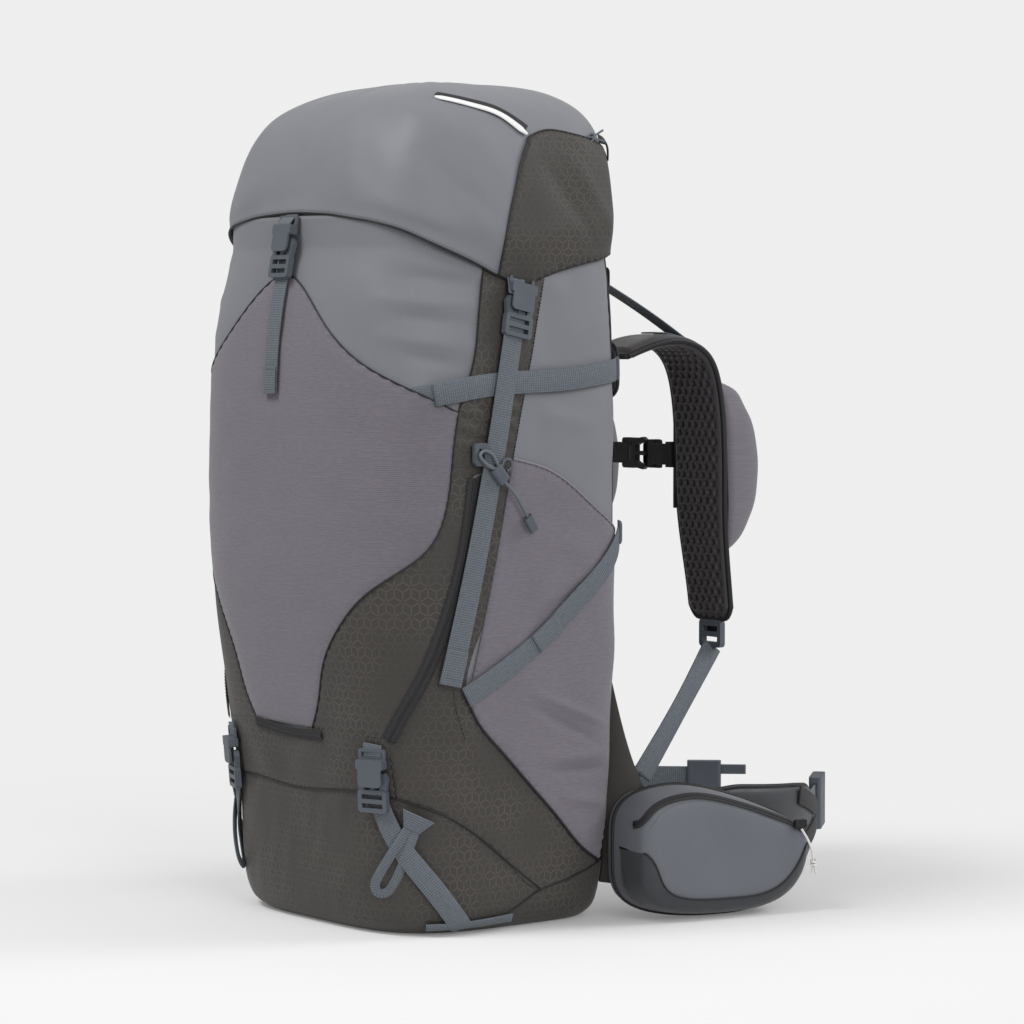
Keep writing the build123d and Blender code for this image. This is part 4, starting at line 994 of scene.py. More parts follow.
def lid_side_relief(s, t):
    """Lid side panels: the lid's own swells at 0.6 of their height, with two creases to the rear."""
    return (0.8 * MM * ripple(s, t, 0.07, 35) + lid_relief(s, t) * 0.6
            + crease(np.abs(s), t, (0.40, 0.04), (0.33, 0.15), 0.010, 1.6 * MM)
            - crease(np.abs(s), t, (0.37, 0.03), (0.30, 0.14), 0.008, 1.2 * MM))


def build_lid_dome():
    """Domed lid cloth, with a thin dark tube along its hem as painted shade for the shade line under it, and
    its stitched hem; its crown is closed to one point.
    """
    columns, rows = 320, 110
    s = np.linspace(-HALF_AROUND, HALF_AROUND, columns, endpoint=False)
    share = np.linspace(0, 1, rows)[:, None]
    t = lid_hem(s)[None] * (1 - share) + 0.2985 * share
    s = np.broadcast_to(s, t.shape)
    swell = smooth((t - lid_hem(s[0])[None]) / 0.02) * (1 - smooth((t - 0.24) / 0.05))
    points = lid(s, t, 0.2 * MM + lid_relief(s, t) * swell)
    crown = points[-1].mean(0)
    cloth = np.concatenate([points.reshape(-1, 3), crown[None]])
    faces = grid_faces(rows, columns, wrap_columns=True).tolist()
    top = (rows - 1) * columns
    faces += [[top + j, top + (j + 1) % columns, rows * columns] for j in range(columns)]
    uv = np.concatenate([np.stack([s, t], -1).reshape(-1, 2), [[0, 0.3]]])
    dome = mesh_piece("lid_cloth", cloth, faces, "lid", "grey_nylon", uv)
    thicken(dome, 0.9 * MM)
    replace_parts(dome, "lid_shell")
    hem = s[0]
    path = lid(hem, lid_hem(hem), 0.5 * MM)
    hem_shade_line = np.concatenate([path, path[:1]])
    # the hem's edge as a thin dark tube: painted shade, the shade line under the lid's hem
    tube("lid_hem_shade_line", hem_shade_line, 0.9 * MM, "lid", "dark_binding", 8)
    up = lid(hem, lid_hem(hem) + 3.2 * MM, 0.7 * MM)
    stitches("lid_hem_stitches", up, outward(lid, hem, lid_hem(hem) + 3.2 * MM), "lid", "dark_cord",
             lift=0.1 * MM)


def build_lid_sides():
    """The lid's dark side panels, with a seam at the front and on top."""
    edge = [lid_spot(0.1665, -0.0475, 0.5737), lid_spot(0.1662, -0.0444, 0.5927),
            lid_spot(0.1641, -0.0372, 0.623), lid_spot(0.1597, -0.0258, 0.654),
            lid_spot(0.1541, -0.0138, 0.680), lid_spot(0.148, -0.002, 0.697)]
    ridge = [edge[-1], lid_spot(0.1455, 0.0188, 0.7035), lid_spot(0.1457, 0.0465, 0.7015),
             lid_spot(0.1433, 0.0717, 0.697), lid_spot(0.132, 0.098, 0.688)]
    rear = lid_spot(0.112, 0.112, 0.6)[0]
    for side, hand in SIDES:
        foot_s = np.linspace(edge[0][0], rear, 14)
        foot = [(a, float(b)) for a, b in zip(foot_s, lid_hem(foot_s) + 0.5 * MM)]
        left = [foot[0]] + edge[1:]
        right = [foot[-1], ((foot[-1][0] + ridge[-1][0]) / 2, 0.12), ridge[-1]]
        own = [mirrored(side, places) for places in (left, right, foot, ridge)]
        patch(f"lid_side_{hand}", *own, "star_nylon", 90, 90, 3.0 * MM, 1.0 * MM,
              5 * MM, lid_side_relief, "lid", lid, flip=side < 0)
        seam_line(f"lid_side_front_seam_{hand}", own[0], "lid", lid, 0.9 * MM, 2.2 * MM)
        seam_line(f"lid_side_top_seam_{hand}", own[3], "lid", lid, 0.9 * MM, 1.4 * MM)


def build_lid_zip():
    """The top pocket's zip flap, coloured near-white as a painted highlight along it and narrowed at its
    ends, and the dark tape above it.
    """
    strip = [lid_spot(0.1054, -0.0722, 0.7301), lid_spot(0.1151, -0.0629, 0.7275),
             lid_spot(0.1267, -0.0443, 0.7223), lid_spot(0.1358, -0.0237, 0.715),
             lid_spot(0.1429, -0.0128, 0.7062), lid_spot(0.1473, -0.0039, 0.6985)]
    line = run(strip, 90)
    path, normals = lid(line[:, 0], line[:, 1], 1.2 * MM), outward(lid, line[:, 0], line[:, 1])
    ends = np.clip(np.minimum(np.linspace(0, 9, 90), np.linspace(9, 0, 90)) + 0.35, 0, 1)
    # the flap is drawn near-white: painted highlight along its rolled edge
    ribbon("lid_zip_flap_highlight", path, normals, 7 * MM, 1.6 * MM, "lid", "painted_highlight_strip", ends)
    tape_path = lid(line[:, 0] + 1.5 * MM, line[:, 1] + 6.2 * MM, 0.9 * MM)
    ribbon("lid_zip_tape", tape_path, normals, 9 * MM, 0.9 * MM, "lid", "zip_tape")


def build_lid_lining():
    """Lining under the dome: rings that shrink from its rim to one middle point, and a bound rim."""
    inner_rows, inner_columns = 16, 160
    around = np.linspace(-HALF_AROUND, HALF_AROUND, inner_columns, endpoint=False)
    rim = lid_point(turn_of(around), lid_step_at(0.668), -5.0 * MM)
    shares = np.linspace(1, 0.03, inner_rows)[:, None, None]
    middle = np.array([0, -0.015, 0.660])
    sheet_points = middle + (rim[None] - middle) * shares
    sheet_points[..., 2] += 1.5 * MM * ripple(sheet_points[..., 0], sheet_points[..., 1], 0.09, 37)
    lining_faces = grid_faces(inner_rows, inner_columns, wrap_columns=True).tolist()
    start = (inner_rows - 1) * inner_columns
    lining_faces += [[start + j, start + (j + 1) % inner_columns, inner_rows * inner_columns]
                     for j in range(inner_columns)]
    lining_points = np.concatenate([sheet_points.reshape(-1, 3), [middle]])
    lining = mesh_piece("lid_lining", lining_points, lining_faces, "lid", "dark_nylon",
                        lining_points[:, :2])
    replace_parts(thicken(lining, LINING_CLOTH), "lid_underside")
    binding = lid_point(turn_of(np.r_[around, around[:1]]), lid_step_at(0.668), -5.5 * MM)
    tube("lid_lining_binding", binding, 1.4 * MM, "lid", "dark_binding", 8)


def build_lid_tab():
    """Rear tab and the knotted cord of the lid's zip: the knot is a tilted helix."""
    tab = run([(0.1325, 0.0900, 0.6985), (0.1330, 0.0960, 0.6960), (0.1340, 0.0985, 0.6800)], 12)
    ribbon("lid_rear_tab", tab, np.tile((0.6, 0.78, 0.2), (12, 1)), 11 * MM, 1.6 * MM, "lid", "black_webbing")
    base = lid(*lid_spot(0.1433, 0.0700, 0.6975), 1.0 * MM)
    turns = np.linspace(0, 2 * np.pi * 2.3, 70)[:, None]
    coil = np.array((0.25, 0.9, 0.3)) * np.cos(turns) * 3.2 * MM
    knot = base + coil + (0, 0, 1.0) * np.sin(turns) * 3.2 * MM
    tube("lid_cord_knot", knot + np.array((0.8, 0, 0.6)) * turns * 0.16 * MM, 1.1 * MM, "lid", "dark_cord", 8)
    for name, reach in (("upper", (0.003, 0.011, 0.007)), ("lower", (0.003, 0.013, -0.003))):
        tail = base + np.linspace(0, 1, 12)[:, None] * reach + (0.002, 0, 0.001)
        tube(f"lid_cord_tail_{name}", tail, 1.0 * MM, "lid", "dark_cord", 8)


def build_collar():
    """Gathered snow collar: a sleeve whose cloth bunches in a wave towards its drawn mouth."""
    rows, columns = 60, 360
    share = np.linspace(0, 1, rows)[:, None]
    s = np.linspace(-HALF_AROUND, HALF_AROUND, columns, endpoint=False)[None]
    z = 0.5985 + 0.050 * share
    drawn = smooth((share - 0.58) / 0.42)
    size = np.stack([0.1566 - 0.001 * share - 0.030 * drawn, 0.1508 - 0.003 * share - 0.030 * drawn,
                     0.1088 - 0.001 * share - 0.016 * drawn], -1)
    wave = (np.sin(s * 300 + 1.5 * np.sin(s * 23)) * 2.2 * MM + 1.2 * MM * np.sin(s * 131)) * drawn
    shown = size + wave[..., None] * np.ones(3)
    x, y = rounded_box(turn_of(s), shown[..., 0], shown[..., 1], shown[..., 2])
    points = np.stack([x, y, z * np.ones_like(x)], -1)
    collar = mesh_piece("collar_cloth", points, grid_faces(rows, columns, wrap_columns=True), "bag",
                        "grey_nylon",
                        np.stack([s * np.ones_like(x), z * np.ones_like(x)], -1))
    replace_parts(thicken(collar, 0.7 * MM), "bag_collar")
    top = points[-1]
    tube("collar_hem", np.concatenate([top, top[:1]]), 2.0 * MM, "bag", "dark_nylon_hem", 8)


build_lid_dome()
build_lid_sides()
build_lid_zip()
build_lid_lining()
build_lid_tab()
build_collar()


# ---- straps, loops and cords on the bag -----------------------------------------------------------
def body_of(node):
    """The body that a CAD node belongs to."""
    return frame["nodes"][node]["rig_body"]


def bag_spot(x, y, z):
    """(s, z) of the bag's surface nearest in direction to a point."""
    turn = math.atan2(x, -y)
    return (math.copysign(float(np.interp(abs(turn), TURNS, AROUND)), turn), z)


def surface_strap(name, places, width, out, body="bag", material="grey_webbing", thickness=1.5 * MM,
                  count=120, surface=bag, tail=0.0):
    """Webbing lying on a surface through places; a tail is a folded and stitched end."""
    line = run(places, count)
    path = surface(line[:, 0], line[:, 1], out)
    normals = outward(surface, line[:, 0], line[:, 1], out)
    strap = ribbon(name, path, normals, width, thickness, body, material)
    if tail:
        length = length_along(path)
        last = length[-1] - length < tail
        fold = path[last] + normals[last] * thickness * 1.1
        ribbon(name + "_fold", fold, normals[last], width * 0.985, thickness, body, material)
        beside, facing = frames_along(path, normals)[1][last][0], normals[last][0]
        across = np.linspace(-0.42, 0.42, 24)[:, None] * width * beside
        for share in (0.12, 0.85):
            bar = fold[int(share * (len(fold) - 1))] + across + facing * thickness * 1.1
            stitches(f"{name}_bar_{int(share * 100)}", bar, np.tile(facing, (24, 1)), body,
                     "dark_cord", pitch=1.6 * MM, size=0.5 * MM)
    return strap


def build_straps():
    """Compression, lid and mat straps of the bag, with their folded ends."""
    for side, hand in SIDES:
        def own(places):
            return mirrored(side, places)
        places = own([
            bag_spot(0.136, -0.131, 0.4665), side_spot(-0.118, 0.4715), side_spot(-0.09, 0.4765),
            side_spot(-0.049, 0.4815), side_spot(0.017, 0.4845), side_spot(0.075, 0.491), (0.3990, 0.4935)])
        lift = np.interp(np.linspace(0, 1, 120), [0, 0.09, 0.15, 1], [-0.8, -0.8, 2.9, 2.9]) * MM
        upper = surface_strap(f"upper_compression_{hand}", places, 20 * MM, lift)
        fold = own([side_spot(-0.112, 0.4725), side_spot(-0.084, 0.477)])
        surface_strap(f"upper_compression_fold_{hand}", fold, 19.6 * MM, 4.5 * MM, count=14)
        lower = surface_strap(f"lower_compression_{hand}", own([
            (0.2133, 0.2109), (0.2496, 0.2308), (0.2937, 0.2587), (0.3324, 0.2899), (0.3631, 0.3151),
            (0.3726, 0.3237), (0.3960, 0.3450)]), 19 * MM, 4.6 * MM)
        surface_strap(f"lower_compression_fold_{hand}", own([(0.2860, 0.2535), (0.3110, 0.2720)]),
                      18.6 * MM, 6.2 * MM, count=14)
        places = own([side_spot(-0.031, 0.545), side_spot(-0.0345, 0.53), side_spot(-0.040, 0.505),
                      side_spot(-0.052, 0.445), side_spot(-0.074, 0.335), side_spot(-0.0965, 0.222)])
        side_strap = surface_strap(f"side_lid_strap_{hand}", places, 20 * MM, 6.0 * MM, count=160, tail=0.033)
        if side > 0:
            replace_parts(upper, "upper_compression_straps")
            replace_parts(lower, "lower_compression_straps")
            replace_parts(side_strap, "lid_straps")
        mat = surface_strap(f"mat_strap_{hand}", own([
            bag_spot(0.107, -0.137, 0.130), bag_spot(0.112, -0.133, 0.110), bag_spot(0.122, -0.121, 0.080),
            bag_spot(0.134, -0.100, 0.048), bag_spot(0.130, -0.072, 0.016), bag_spot(0.124, -0.062, 0.0062)]),
            19 * MM, 3.0 * MM, count=90)
        bar = own([bag_spot(0.118, -0.092, 0.0085), bag_spot(0.133, -0.052, 0.0095),
                   bag_spot(0.137, -0.020, 0.0115)])
        surface_strap(f"mat_strap_bar_{hand}", bar, 9 * MM, 3.0 * MM, count=30)
        if side > 0:
            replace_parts(mat, "mat_straps")
        loop = own([bag_spot(0.1075, -0.140, 0.157), bag_spot(0.1072, -0.140, 0.163),
                    bag_spot(0.1068, -0.139, 0.170)])
        upper_mat = surface_strap(f"mat_buckle_loop_{hand}", loop, 19 * MM, 3.4 * MM, count=24)
        if side > 0:
            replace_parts(upper_mat, "mat_buckle_webbings")
        lid_path = run([(0.1715, -0.0325, 0.558), (0.1665, -0.0300, 0.5685), (0.1618, -0.0285, 0.578),
                        (0.1590, -0.0275, 0.590)], 30) * (side, 1, 1)
        ribbon(f"lid_webbing_{hand}", lid_path, np.tile((side, 0.0, 0.25), (30, 1)), 19 * MM, 1.2 * MM, "lid",
               "grey_webbing")
        for name, s, z, out in (("upper", 0.4015, 0.4940, 3.0), ("lower", 0.3985, 0.3470, 4.6)):
            spot = bag(side * s, z, out * MM)
            face = outward(bag, side * s, z)
            along = np.cross((0, 0, 1.0), face)
            oval_pad(f"{name}_strap_lock_{hand}", spot, along, np.cross(face, along), (0.0055, 0.0112),
                     4.2 * MM, "bag", "grey_plastic", 9.0, rings=14, around=60)
    surface_strap("front_lid_strap", [(0, 0.590), (0, 0.53), (0, 0.472)], 19 * MM, 4.4 * MM, tail=0.024)
    path = run([(0, -0.1610, 0.614), (0, -0.1565, 0.6240), (0, -0.1478, 0.6305), (0, -0.1425, 0.638)], 30)
    loop = ribbon("front_lid_webbing", path, np.tile((0, -1.0, 0.2), (30, 1)), 19 * MM, 1.4 * MM, "lid",
                  "grey_webbing")
    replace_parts(loop, "lid_buckle_webbings")


def build_loops():
    """Ice axe loops: a flat tape bent in a long loop under a folded tab; and the haul loop."""
    for side, hand in SIDES:
        body = body_of(f"axe_loop_{hand}")
        top, foot = np.array((0.1375, -0.1175, 0.1035)), np.array((0.1075, -0.1345, 0.0400))
        down = (foot - top) / np.linalg.norm(foot - top)
        face = np.cross(down, (0.62, 0.78, 0.12))
        face /= np.linalg.norm(face)
        if face[1] > 0:
            face = -face
        beside = np.cross(face, down)
        length = np.linalg.norm(foot - top)
        outline = [(-2.0, 0), (-4.5, 0.25), (-7.0, 0.6), (-7.6, 0.86), (-5.6, 0.97), (0, 1.02), (5.6, 0.97),
                   (7.6, 0.86), (7.0, 0.6), (4.5, 0.25), (2.0, 0)]
        line = run([(a * MM, b * length) for a, b in outline], 110)
        bow = 3.0 * MM * np.sin(np.pi * line[:, 1] / length)
        path = top + beside * line[:, :1] + down * line[:, 1:] + face * bow[:, None]
        path, normal = path * (side, 1, 1), face * (side, 1, 1)
        loop = ribbon(f"axe_loop_tape_{hand}", path, np.tile(normal, (110, 1)), 8.5 * MM, 1.4 * MM, body,
                      "grey_webbing")
        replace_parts(loop, f"axe_loop_{hand}")
        tab_path = (top + down * np.linspace(-6, 9, 16)[:, None] * MM + face * 1.4 * MM) * (side, 1, 1)
        ribbon(f"axe_loop_tab_{hand}", tab_path, np.tile(normal, (16, 1)), 30 * MM, 1.6 * MM, body,
               "grey_webbing", taper=np.linspace(1.0, 0.5, 16))
    outline = [(-0.044, 0.576), (-0.0425, 0.562), (-0.034, 0.5535), (-0.02, 0.551),
               (0.02, 0.551), (0.034, 0.5535), (0.0425, 0.562), (0.044, 0.576)]
    line = run(outline, 120)
    path = np.stack([line[:, 0], 0.1135 + 0.006 * np.sin(np.pi * (0.576 - line[:, 1]) / 0.05), line[:, 1]], 1)
    haul = ribbon("haul_loop_tape", path, np.tile((0, 1.0, 0.0), (120, 1)), 15 * MM, 2.2 * MM,
                  body_of("haul_loop"), "grey_webbing")
    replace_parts(haul, "haul_loop")
    for x in (-0.044, 0.044):
        base = np.stack([np.full(12, x), np.full(12, 0.1126), np.linspace(0.569, 0.592, 12)], 1)
        ribbon(f"haul_loop_base_{'right' if x > 0 else 'left'}", base, np.tile((0, 1.0, 0), (12, 1)), 20 * MM,
               1.6 * MM, "bag", "black_webbing")


def cord_curve(name, points, diameter, body, material):
    """A round cord on a smooth curve that starts and ends at its first and last points."""
    data = bpy.data.curves.new(name, "CURVE")
    data.dimensions, data.bevel_depth, data.bevel_resolution, data.resolution_u = "3D", diameter / 2, 3, 16
    data.use_fill_caps = True
    spline = data.splines.new("NURBS")
    spline.points.add(len(points) - 1)
    for point, place in zip(spline.points, points):
        point.co = (*place, 1)
    spline.order_u, spline.use_endpoint_u = 3, True
    cord = bpy.data.objects.new(name, data)
    bpy.context.scene.collection.objects.link(cord)
    data.materials.append(MATERIALS[material])
    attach(cord, body)
    return cord


def build_pole_cords():
    """Elastic cord, its loop on the hook and its pull tab, at each pole holder."""
    for side, hand in SIDES:
        hook_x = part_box("pole_clips")[1].x - 9.0 * MM
        low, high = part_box("pole_cord_right")
        lock_x = 0.5 * (low.x + high.x) - 0.6 * MM
        route = [(lock_x, -0.0516, 0.3976), (lock_x + 1.5 * MM, -0.041, 0.388),
                 (lock_x + 1.2 * MM, -0.033, 0.376), (lock_x + 0.4 * MM, -0.026, 0.366)]
        route = [(side * x, y, z) for x, y, z in route]
        cord = cord_curve(f"pole_cord_line_{hand}", route, 3.0 * MM, "bag", "dark_cord")
        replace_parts(cord, f"pole_cord_{hand}")
        ring = [(-0.0735, 0.4245), (-0.078, 0.4205), (-0.0745, 0.4150), (-0.0660, 0.4095), (-0.0600, 0.4085),
                (-0.0615, 0.4150), (-0.0670, 0.4225), (-0.0735, 0.4245)]
        line = run(ring, 60)
        swell = 4.6 * MM + 2.4 * MM * np.sin(np.linspace(0, np.pi, 60))
        path = np.stack([np.full(60, side) * (hook_x + swell), line[:, 0], line[:, 1]], 1)
        tube(f"pole_hook_cord_{hand}", path, 1.5 * MM, "bag", "dark_cord", 10)
        eye = run([(-0.0545, 0.4105), (-0.0500, 0.4165), (-0.0450, 0.4155), (-0.0445, 0.4095),
                   (-0.0495, 0.4065)], 40)
        eye_path = np.stack([np.full(40, side) * (hook_x + 5.5 * MM), eye[:, 0], eye[:, 1]], 1)
        tube(f"pole_lock_eye_{hand}", eye_path, 1.4 * MM, "bag", "grey_plastic", 8)


# ---- padded pieces ----------------------------------------------------------------------------------
STRAP_X, STRAP_MIDDLE = 0.102, 6.5 * MM    # a shoulder strap's place across, and half its thickness
BACK_Y = 0.1128                            # just off the back cloth


def hex_dimples(a, b, pitch, depth):
    """Depth of round pits on a hexagon lattice: smooth in the distance to the nearest middle."""
    tall = pitch * 3 ** 0.5

    def away(shift_a, shift_b):
        da = (a - shift_a + pitch / 2) % pitch - pitch / 2
        db = (b - shift_b + tall / 2) % tall - tall / 2
        return np.hypot(da, db)
    near = np.minimum(away(0, 0), away(pitch / 2, tall / 2))
    return depth * smooth((0.44 * pitch - near) / (0.16 * pitch))


def oval_pad(name, centre, along, up, half, thickness, body, material, square=5.0, pits=0.0, pitch=8 * MM,
             crown=0.5, rings=60, around=260, channels=()):
    """A crowned pad on a flat back: rings of a superellipse, its height thickness * (1 - r^7)^crown.

    channels are (middle, width, depth) grooves across its up direction.
    """
    centre, along, up = (np.asarray(v, float) for v in (centre, along, up))
    out = np.cross(along, up)
    out = out / np.linalg.norm(out)
    turn = np.linspace(0, 2 * np.pi, around, endpoint=False)[None]
    r = np.linspace(1.0, 0.02, rings)[:, None]
    reach = superellipse(turn, square)
    a, b = half[0] * r * reach * np.cos(turn), half[1] * r * reach * np.sin(turn)
    height = thickness * np.maximum(1 - r ** 7, 0) ** crown * np.ones_like(turn)
    if pits:
        height = height - hex_dimples(a, b, pitch, pits) * smooth((0.93 - r) / 0.08)
    for middle, width, depth in channels:
        height = height - depth * np.exp(-((b - middle) / width) ** 2) * smooth((0.98 - r) / 0.1)
    front = centre + along * a[..., None] + up * b[..., None] + out * height[..., None]
    middle_top = centre + out * height[-1].mean()
    back = centre + along * a[:1, :, None] * 0.96 + up * b[:1, :, None] * 0.96
    points = np.concatenate([back.reshape(-1, 3), front.reshape(-1, 3), [middle_top], [centre]])
    faces = grid_faces(rings + 1, around, wrap_columns=True)
    top, foot, last = (rings + 1) * around, (rings + 1) * around + 1, rings * around
    faces = faces.tolist()
    faces += [[last + j, last + (j + 1) % around, top] for j in range(around)]
    faces += [[foot, (j + 1) % around, j] for j in range(around)]
    uv = np.concatenate([np.stack([a[0], b[0]], -1), np.stack([a, b], -1).reshape(-1, 2), [[0, 0], [0, 0]]])
    return mesh_piece(name, points, faces, body, material, uv)


def pad_edge(name, centre, along, up, half, body, radius=1.8 * MM, square=5.0, lift=1.0 * MM,
             material="dark_binding"):
    """Binding tube round a pad's rim."""
    centre, along, up = (np.asarray(v, float) for v in (centre, along, up))
    out = np.cross(along, up)
    turn = np.linspace(0, 2 * np.pi, 181)
    reach = superellipse(turn, square)
    path = (centre + out / np.linalg.norm(out) * lift + along * (half[0] * reach * np.cos(turn))[:, None]
            + up * (half[1] * reach * np.sin(turn))[:, None])
    return tube(name, path, radius, body, material, 8)


def build_back():
    """Back pads, belt sleeve, yoke and the strap anchors on the back cloth."""
    across, up = (-1, 0, 0), (0, 0, 1)
    pads = [("back_pad_right", (0.068, BACK_Y, 0.334), (0.026, 0.084), 9.0, 5.0),
            ("back_pad_left", (-0.068, BACK_Y, 0.334), (0.026, 0.084), 9.0, 5.0),
            ("lumbar_pad", (0, BACK_Y, 0.160), (0.075, 0.060), 14.6, 4.5),
            ("belt_sleeve", (0, 0.1126, 0.0627), (0.146, 0.0365), 5.0, 9.0)]
    made = []
    for name, centre, half, thick, square in pads:
        pitted = name != "belt_sleeve"
        pad = oval_pad(name, centre, across, up, half, thick * MM, "bag",
                       "spacer_mesh" if pitted else "foam_cloth",
                       square, 1.4 * MM if pitted else 0.0, crown=0.42,
                       channels=((0.0, 4 * MM, 3 * MM),) if name == "lumbar_pad" else ())
        pad_edge(name + "_binding", centre, across, up, half, "bag", 1.6 * MM, square)
        made.append(pad)
    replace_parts(made[0], "back_pads")
    body = body_of("yoke")
    yoke = oval_pad("yoke_pad", (0, 0.1131, 0.492), across, up, (0.130, 0.030), 8.8 * MM, body,
                    "foam_cloth", 5.0, 0.9 * MM, 7 * MM, 0.4)
    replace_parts(yoke, "yoke")
    pad_edge("yoke_binding", (0, 0.1131, 0.492), across, up, (0.130, 0.030), body, 1.8 * MM, 5.0, 2 * MM)
    anchors = []
    for side, hand in SIDES:
        place = (side * 0.108, 0.1125, 0.574)
        anchors.append(oval_pad(f"lifter_anchor_{hand}", place, across, up, (0.013, 0.011), 2.4 * MM, "bag",
                                "foam_cloth", 6.0, rings=12, around=80))
        line = np.stack([np.full(24, side) * np.linspace(0.124, 0.1435, 24), np.linspace(0.1135, 0.1335, 24),
                         np.linspace(0.119, 0.1245, 24)], 1)
        ribbon(f"strap_anchor_{hand}", line, np.tile((side * 0.5, 0.5, 0.7), (24, 1)), 30 * MM, 3.0 * MM,
               "bag", "star_nylon", taper=np.linspace(1, 0.66, 24))
    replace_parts(anchors[0], "harness_anchors")


STRAP_LINE = run([(0.1265, 0.498), (0.160, 0.509), (0.190, 0.511), (0.214, 0.500), (0.227, 0.470),
                  (0.232, 0.420), (0.235, 0.350), (0.243, 0.290), (0.247, 0.258)], 400)


def build_shoulder_straps():
    """Foam shoulder straps with a pitted mesh inner face, bound edges and a stretch pocket each."""
    body = body_of("shoulder_strap_right")
    tangent = unit_tangents(STRAP_LINE)
    away = np.stack([-tangent[:, 1], tangent[:, 0]], 1)
    length = length_along(STRAP_LINE)
    rows = len(STRAP_LINE)
    share = np.linspace(0, 1, rows)
    half = (33.5 - 5.5 * smooth((share - 0.55) / 0.45) - 2.0 * smooth((0.2 - share) / 0.2)) * MM
    half = half * np.clip((1.0 - share) / 0.035, 0, 1) ** 0.4 * 0.45 + half * 0.55
    for side, hand in SIDES:
        u = np.concatenate([np.linspace(-1, 1, 70), np.linspace(1, -1, 40)])
        inner_side = np.r_[np.ones(70, bool), np.zeros(40, bool)]
        edge = np.sqrt(np.maximum(1 - np.abs(u) ** 5, 0))
        rise = np.where(inner_side, 6.5 - 6.2 * edge, 6.5 + 6.0 * edge) * MM
        across = half[:, None] * u[None]
        offset = np.broadcast_to(rise, across.shape).copy()
        pits = hex_dimples(across, length[:, None] * np.ones_like(across), 9.0 * MM, 2.4 * MM)
        offset += np.where(inner_side[None], pits * smooth((0.86 - np.abs(u))[None] / 0.08), 0)
        ends = 0.35 + 0.65 * smooth(np.minimum(share / 0.03, (1 - share) / 0.04))
        offset = STRAP_MIDDLE + (offset - STRAP_MIDDLE) * ends[:, None]
        points = np.stack([side * STRAP_X + across, STRAP_LINE[:, :1] + away[:, :1] * offset,
                           STRAP_LINE[:, 1:] + away[:, 1:] * offset], -1)
        faces = grid_faces(rows, 110, wrap_columns=True).tolist()
        faces += [list(range(110)), list(range((rows - 1) * 110, rows * 110))[::-1]]
        uv = np.stack([across, length[:, None] * np.ones_like(across)], -1)
        strap = mesh_piece(f"shoulder_strap_foam_{hand}", points, [f[::-1] for f in faces], body,
                           "spacer_mesh", uv)
        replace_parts(strap, f"shoulder_strap_{hand}")
        centre = np.stack([np.full(rows, side * STRAP_X), STRAP_LINE[:, 0] + away[:, 0] * 6.5 * MM,
                           STRAP_LINE[:, 1] + away[:, 1] * 6.5 * MM], 1)
        rim = np.concatenate([centre + (1, 0, 0) * half[:, None], (centre - (1, 0, 0) * half[:, None])[::-1]])
        tube(f"shoulder_strap_binding_{hand}", np.concatenate([rim, rim[:1]]), 2.6 * MM, body,
             "dark_binding", 10)
        facing = np.stack([np.zeros(rows), away[:, 0], away[:, 1]], 1)
        face, keep = centre + facing * 6.6 * MM, slice(60, 385)
        ribbon(f"shoulder_strap_tape_{hand}", face[keep], facing[keep], 20 * MM, 1.4 * MM, body,
               "grey_webbing")
        build_strap_pocket(side, hand, body)


def build_strap_pocket(side, hand, body):
    """Stretch pocket: on each level, depth falls as (1 - |u|^3.2)^0.62 from its middle to the edges."""
    z = np.linspace(0.3175, 0.4845, 90)
    outer = cubic([0.3175, 0.332, 0.350, 0.370, 0.402, 0.430, 0.446, 0.462, 0.476, 0.4845],
                  [0.2556, 0.276, 0.2885, 0.2965, 0.3005, 0.2965, 0.291, 0.281, 0.2655, 0.2385], z)[:, 0]
    root = np.interp(z, [0.3175, 0.35, 0.42, 0.472, 0.4845], [0.2545, 0.2485, 0.2455, 0.2440, 0.2375])
    u = np.linspace(-1, 1, 90)
    depth = np.maximum(1 - np.abs(u) ** 3.2, 0) ** 0.62
    half = 30 * MM * np.sqrt(np.clip(1 - (np.abs(z - 0.401) / 0.0845) ** 4.5, 0, 1))
    uu = half[:, None] * u[None]
    sag = 0.8 * MM * ripple(uu, z[:, None] * np.ones_like(uu), 0.04, 51)
    y = root[:, None] + (outer - root)[:, None] * depth[None] + sag * depth[None]
    points = np.stack([side * STRAP_X - uu, y, z[:, None] * np.ones_like(uu)], -1)
    pocket = mesh_piece(f"strap_pocket_{hand}", points, grid_faces(90, 90), body, "stretch_knit",
                        np.stack([uu, z[:, None] * np.ones_like(uu)], -1))
    thicken(pocket, 1.0 * MM)
    if side > 0:
        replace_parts(pocket, "strap_pockets")


def free_strap(name, start, end, width, bodies, material, facing, bow=0.0, twist=0.0):
    """Webbing between two bodies: straight with a slight bow and twist, blended along its run."""
    share = np.linspace(0, 1, 60)[:, None]
    start, end, facing = (np.asarray(v, float) for v in (start, end, facing))
    path = start + (end - start) * share
    line = (end - start) / np.linalg.norm(end - start)
    facing = facing - line * (facing @ line)
    facing /= np.linalg.norm(facing)
    other = np.cross(line, facing)
    path = path + facing * bow * np.sin(np.pi * share)
    angle = twist * np.sin(np.pi * share)
    normals = facing * np.cos(angle) + other * np.sin(angle)
    strap = ribbon(name, path, normals, width, 1.5 * MM, bodies[0], material)
    strap.parent = None
    del strap["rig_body"]
    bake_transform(strap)
    return strap


